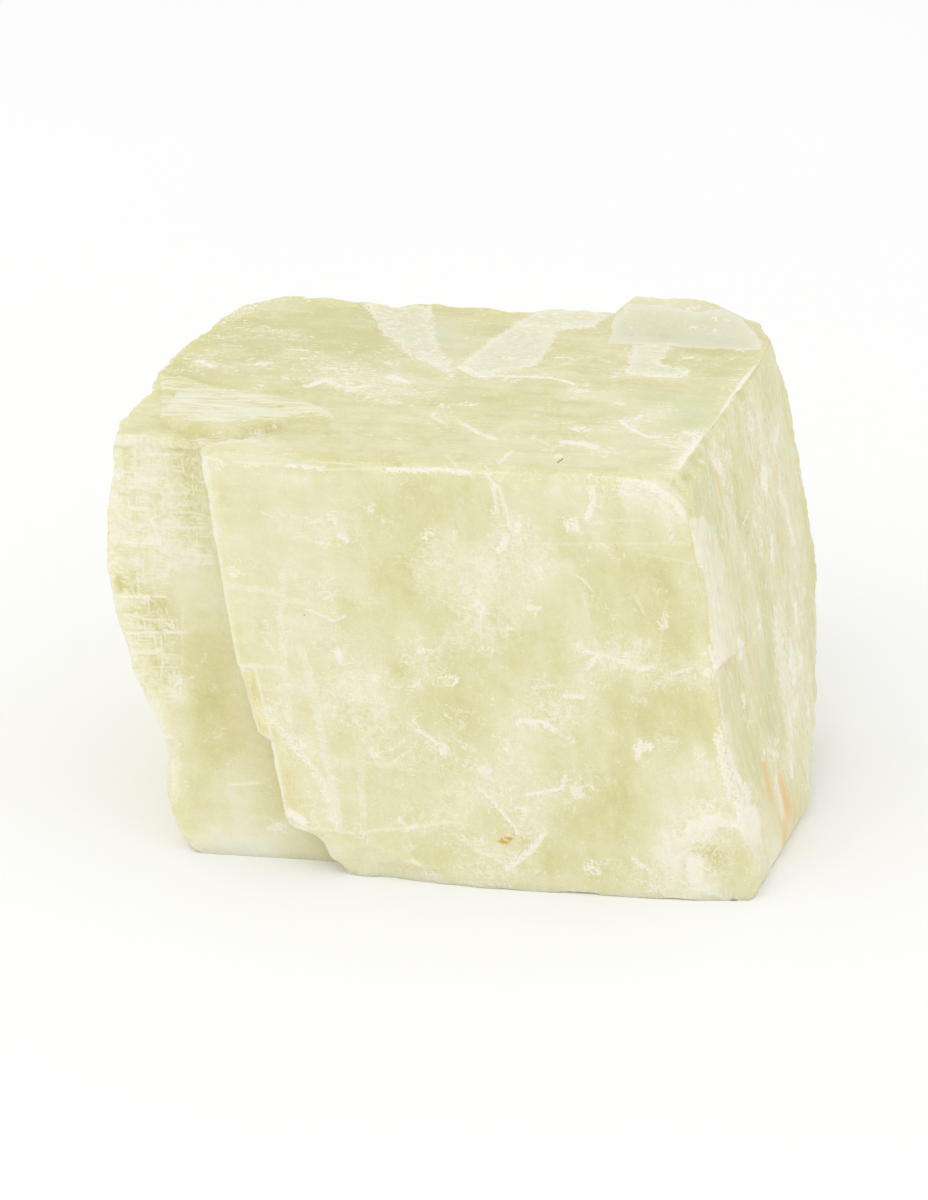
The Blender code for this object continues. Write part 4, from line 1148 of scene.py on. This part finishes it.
def calcite_material():
    """Milky calcite. One number, the milkiness, runs through a ramp from clear olive to
    cream; it also carries painted light in the front recess and painted shade on the top
    and the right end. Green and bluish tints, white breaks, rust, one painted shadow under
    the raised strip of the right end, and dirt go over it. The breaks and the noises also
    drive the roughness and the bump."""
    material = bpy.data.materials.new("milky_calcite")
    material.use_nodes = True
    tree = material.node_tree
    tree.nodes.clear()
    nodes = Nodes(tree)
    place = nodes.attribute("crystal", "Vector")
    parts = nodes.add("ShaderNodeSeparateXYZ", {"Vector": place}).outputs
    faces = nodes.add("ShaderNodeSeparateXYZ",
                      {"Vector": nodes.attribute("faces", "Vector")}).outputs
    front, top, end = faces["X"], faces["Y"], faces["Z"]
    total, most, times, swing = nodes.total, nodes.most, nodes.times, nodes.swing
    stroke, ragged, chip = stroke_group(), ragged_group(), chips_group()
    ladder, patch = ladder_group(), patch_group()
    crowd, spread = nodes.attribute("crowd"), nodes.attribute("spread")
    hidden = nodes.attribute("hidden")

    def drawn(stretch, detail=3.0):
        stretched = nodes.vector("DIVIDE", place, stretch)
        return nodes.noise(stretched, 1.0, detail, 0.65, 0.3)

    # Grain drawn out along two cleavage directions: what breaks up every mark.
    grain = most(drawn((0.75, 0.22, 0.5)), drawn((0.2, 0.7, 0.5)))
    fine = nodes.noise(place, 2.6, 4.0, 0.7)
    swirl = nodes.noise(place, 0.8, 5.0, 0.62, 0.6)
    comb, upright = drawn((5.0, 1.2, 0.26)), drawn((0.28, 2.6, 0.42))

    def shape(name, shake):
        return use_group(nodes, patch, Depth=nodes.attribute(name), Grain=grain, Shake=shake)

    def strokes(name, shake):
        return use_group(nodes, stroke, Line=nodes.attribute(name, "Vector"), Grain=grain,
                         Shake=shake)["Mark"]

    def rows(height, run, spacing, reach):
        return use_group(nodes, ladder, Height=height, Run=run, Wobble=swing(fine, 0.3),
                         Spacing=spacing, Width=0.12, Reach=reach, Cover=0.46)["Mask"]

    def chips(scale, size):
        return use_group(nodes, chip, Place=place, Bend=bend, Scale=scale, Crowd=crowd,
                         Grain=grain, Size=size)["Mask"]

    flake, pale, lump = shape("flake", 2.2), shape("pale", 4.5), shape("lump", 1.5)
    plate, band = shape("sliver", 1.5), shape("band", 1.2)["Mask"]

    # Behind the missing layer: a ladder of cleavage lines, fading down and to the right.
    edge = nodes.maths("MULTIPLY_ADD", nodes.reading(parts["Y"], 13.0, 16.5), 6.5, 52.2)
    past = nodes.maths("SUBTRACT", parts["X"], edge)
    left_end = times(nodes.reading(past, 0.0, 1.6),
                     nodes.reading(parts["Y"], 28.0, 33.0, 1.0, 0.0), front)
    shown = most(left_end, times(hidden, nodes.reading(spread, -0.1, 0.4)))
    rungs = times(most(rows(parts["Y"], parts["X"], 0.47, 1.6),
                       rows(parts["X"], parts["Y"], 0.9, 1.8)), shown)

    # White breaks: measured ones made ragged, thin lines, veins where the swirl crosses
    # its middle, small flakes, tufts where the grain is high, and streaks along the
    # cleavage, across the top and down the end.
    marked = use_group(nodes, ragged, Mark=most(strokes("strokes", 1.8),
                       strokes("more_strokes", 1.8)), Grain=grain, Amount=2.6, Limit=0.36,
                       Softness=0.4)["Mask"]
    crushed = use_group(nodes, ragged, Mark=nodes.attribute("crush"), Grain=grain, Limit=0.8,
                        Amount=2.0)["Mask"]
    crossing = nodes.maths("ABSOLUTE", nodes.maths("SUBTRACT", swirl, 0.5))
    where = total(crowd, swing(grain, 1.5, GRAIN_MIDDLE), times(spread, 0.4))
    veins = times(nodes.reading(crossing, 0.008, 0.04, 1.0, 0.0),
                  nodes.reading(where, 0.25, 0.7))
    bend = nodes.add("ShaderNodeCombineXYZ", {
        "X": swing(swirl, 7.0), "Y": swing(grain, 5.0, GRAIN_MIDDLE),
        "Z": swing(fine, 3.0)}).outputs[0]
    heap = total(grain, times(crowd, 0.2), swing(fine, 0.3), times(spread, 0.06))
    tufts = nodes.reading(heap, 0.765, 0.84)
    flecks = drawn((1.1, 1.0, 0.42))
    across = total(flecks, times(crowd, 0.12), times(spread, 0.06))
    levels = nodes.reading(across, 0.64, 0.68)
    downward = total(upright, times(crowd, 0.07), times(spread, 0.08))
    streaks = nodes.reading(downward, 0.645, 0.70)
    threads = times(strokes("lines", 0.5), nodes.reading(grain, 0.44, 0.58, 0.45, 1.0))
    white = most(times(marked, total(0.95, swing(fine, 1.0))), times(crushed, 0.35),
                 threads, times(chips(0.5, 0.5), 0.9), times(chips(1.2, 0.52), 0.75),
                 times(veins, 0.6), times(tufts, 0.8), times(rungs, 0.85),
                 times(levels, top, 0.9), times(streaks, most(end, hidden), 0.75),
                 times(plate["Mask"], total(nodes.reading(parts["Z"], 2.0, 8.0, 0.5, 0.05),
                                            swing(upright, 1.4), swing(swirl, 1.5))),
                 times(pale["Rim"], total(0.65, swing(swirl, 1.5))),
                 times(pale["Mask"], nodes.reading(flecks, 0.48, 0.66, 0.1, 0.85)),
                 times(lump["Rim"], 0.3))

    # The tone: milkiness, with painted light in the front recess and painted shade on the top
    # and the right end.
    tone = nodes.attribute("tone")
    body = total(tone, swing(fine, 0.35), swing(grain, 0.4, GRAIN_MIDDLE), swing(swirl, 0.4),
                 times(left_end, total(0.06, swing(fine, 1.0), swing(swirl, 1.2))),
                 times(band, total(0.2, swing(fine, 0.6))),
                 times(flake["Mask"], total(0.36, swing(comb, 3.2))),
                 times(pale["Mask"], total(0.1, swing(comb, 0.6))),
                 times(plate["Mask"], 0.25), times(most(end, hidden), swing(upright, 0.8)),
                 times(top, swing(comb, 0.5)))

    ramp = nodes.add("ShaderNodeValToRGB", {"Fac": body})
    elements = ramp.color_ramp.elements
    while len(elements) < len(STONE):
        elements.new(0.5)
    for element, (where, colour) in zip(elements, STONE):
        element.position = where
        element.color = (*colour, 1)
    colour = ramp.outputs["Color"]
    colour = nodes.mixed(times(nodes.attribute("green"), 0.4), colour, GREEN)
    bluish = most(times(nodes.attribute("blue"), 0.45), times(pale["Mask"], 0.35),
                  times(lump["Mask"], 0.6))
    colour = nodes.mixed(bluish, colour, BLUISH)
    whitened = nodes.maths("MULTIPLY", white, 1.0, clamp=True)
    colour = nodes.mixed(whitened, colour, BROKEN_WHITE)
    # The rust marks, drawn as a warm tint and ochre spots; one of them, under the raised strip
    # of the right end, is a painted shadow.
    rust_and_shadow = nodes.attribute("rust_and_shadow")
    spots = use_group(nodes, ragged, Mark=rust_and_shadow, Grain=most(grain, upright), Amount=4.0,
                      Limit=0.55, Softness=0.4)["Mask"]
    tint = times(rust_and_shadow, nodes.reading(upright, 0.38, 0.62, 0.1, 0.45))
    colour = nodes.mixed(tint, colour, RUST_AND_SHADOW_TINT)
    ochre = nodes.mixed(end, OCHRE, PALE_OCHRE)  # the second on the right end
    spots = times(spots, rust_and_shadow, nodes.reading(end, 0.0, 1.0, 0.8, 0.5))
    colour = nodes.mixed(spots, colour, ochre)
    dots = nodes.reading(strokes("dots", 0.3), 0.5, 0.8)
    colour = nodes.mixed(times(dots, 0.75), colour, DIRT)

    roughness = total(0.36, times(white, 0.3), swing(fine, 0.25))
    relief = total(swing(fine, 0.5), swing(grain, 1.0), times(strokes("strokes", 1.8), 0.4))
    bump = nodes.add("ShaderNodeBump",
                     {"Height": relief, "Strength": 0.6, "Distance": 0.15 * MM})

    shader = nodes.add("ShaderNodeBsdfPrincipled", {
        "Base Color": colour, "Roughness": roughness, "IOR": 1.5, "Specular IOR Level": 0.35,
        "Subsurface Weight": 0.35, "Subsurface Radius": (1.0, 0.9, 0.5),
        "Subsurface Scale": 3 * MM, "Normal": bump.outputs["Normal"]})
    out = nodes.add("ShaderNodeOutputMaterial")
    tree.links.new(shader.outputs["BSDF"], out.inputs["Surface"])
    return material


def floor_material():
    """Plain pale floor with a very faint mottling."""
    material = bpy.data.materials.new("pale_floor")
    material.use_nodes = True
    nodes = Nodes(material.node_tree)
    shader = material.node_tree.nodes["Principled BSDF"]
    place = nodes.add("ShaderNodeTexCoord").outputs["Object"]
    tone = nodes.reading(nodes.noise(place, 6.0, 2.0), 0.3, 0.7)
    nodes.put(shader.inputs["Base Color"], nodes.mixed(tone, *FLOOR_TONES))
    shader.inputs["Roughness"].default_value = 0.8
    shader.inputs["Specular IOR Level"].default_value = 0.0
    return material


# Floor, light and camera


def make_floor():
    """A level disc under the block: rings of points at radius r and angle t, at
    (r cos t, r sin t, 0)."""
    radius, turn = np.meshgrid(np.array([0.0001, 0.2, 0.6, 2.0, 6.0]),
                               np.linspace(0, 2 * np.pi, 65), indexing="ij")
    places = np.stack([radius * np.cos(turn), radius * np.sin(turn), 0 * radius], -1)
    index = np.arange(places[..., 0].size).reshape(radius.shape)
    ring = [index[:-1, :-1], index[1:, :-1], index[1:, 1:], index[:-1, 1:]]
    floor = mesh_object("floor", places.reshape(-1, 3), np.stack(ring, -1).reshape(-1, 4))
    floor.data.materials.append(floor_material())


def make_light():
    """Even studio light: a white surround, and one broad soft lamp above left."""
    world = bpy.data.worlds.new("studio")
    bpy.context.scene.world = world
    world.use_nodes = True
    background = world.node_tree.nodes["Background"]
    background.inputs["Color"].default_value = (1.0, 1.0, 1.0, 1)
    background.inputs["Strength"].default_value = 0.97
    lamp = bpy.data.lights.new("soft_lamp", "AREA")
    lamp.shape = "DISK"
    lamp.size = 0.7
    lamp.energy = 1.0
    lamp_object = bpy.data.objects.new("soft_lamp", lamp)
    bpy.context.scene.collection.objects.link(lamp_object)
    lamp_object.location = (-0.35, -0.45, 0.8)
    aim = -lamp_object.location
    lamp_object.rotation_euler = aim.to_track_quat("-Z", "Y").to_euler()


def make_camera():
    """The camera of the photograph."""
    camera = bpy.data.cameras.new("camera")
    camera.lens, camera.sensor_width, camera.clip_start = LENS, SENSOR, 0.01
    made = bpy.data.objects.new("camera", camera)
    bpy.context.scene.collection.objects.link(made)
    made.matrix_world = Matrix(CAMERA.tolist())
    bpy.context.scene.camera = made


make_camera()
make_light()
make_floor()
skin = calcite_skin()
skin.data.materials.append(calcite_material())
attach(skin, "root")
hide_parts("calcite_block")
bpy.context.scene.view_settings.view_transform = "Standard"
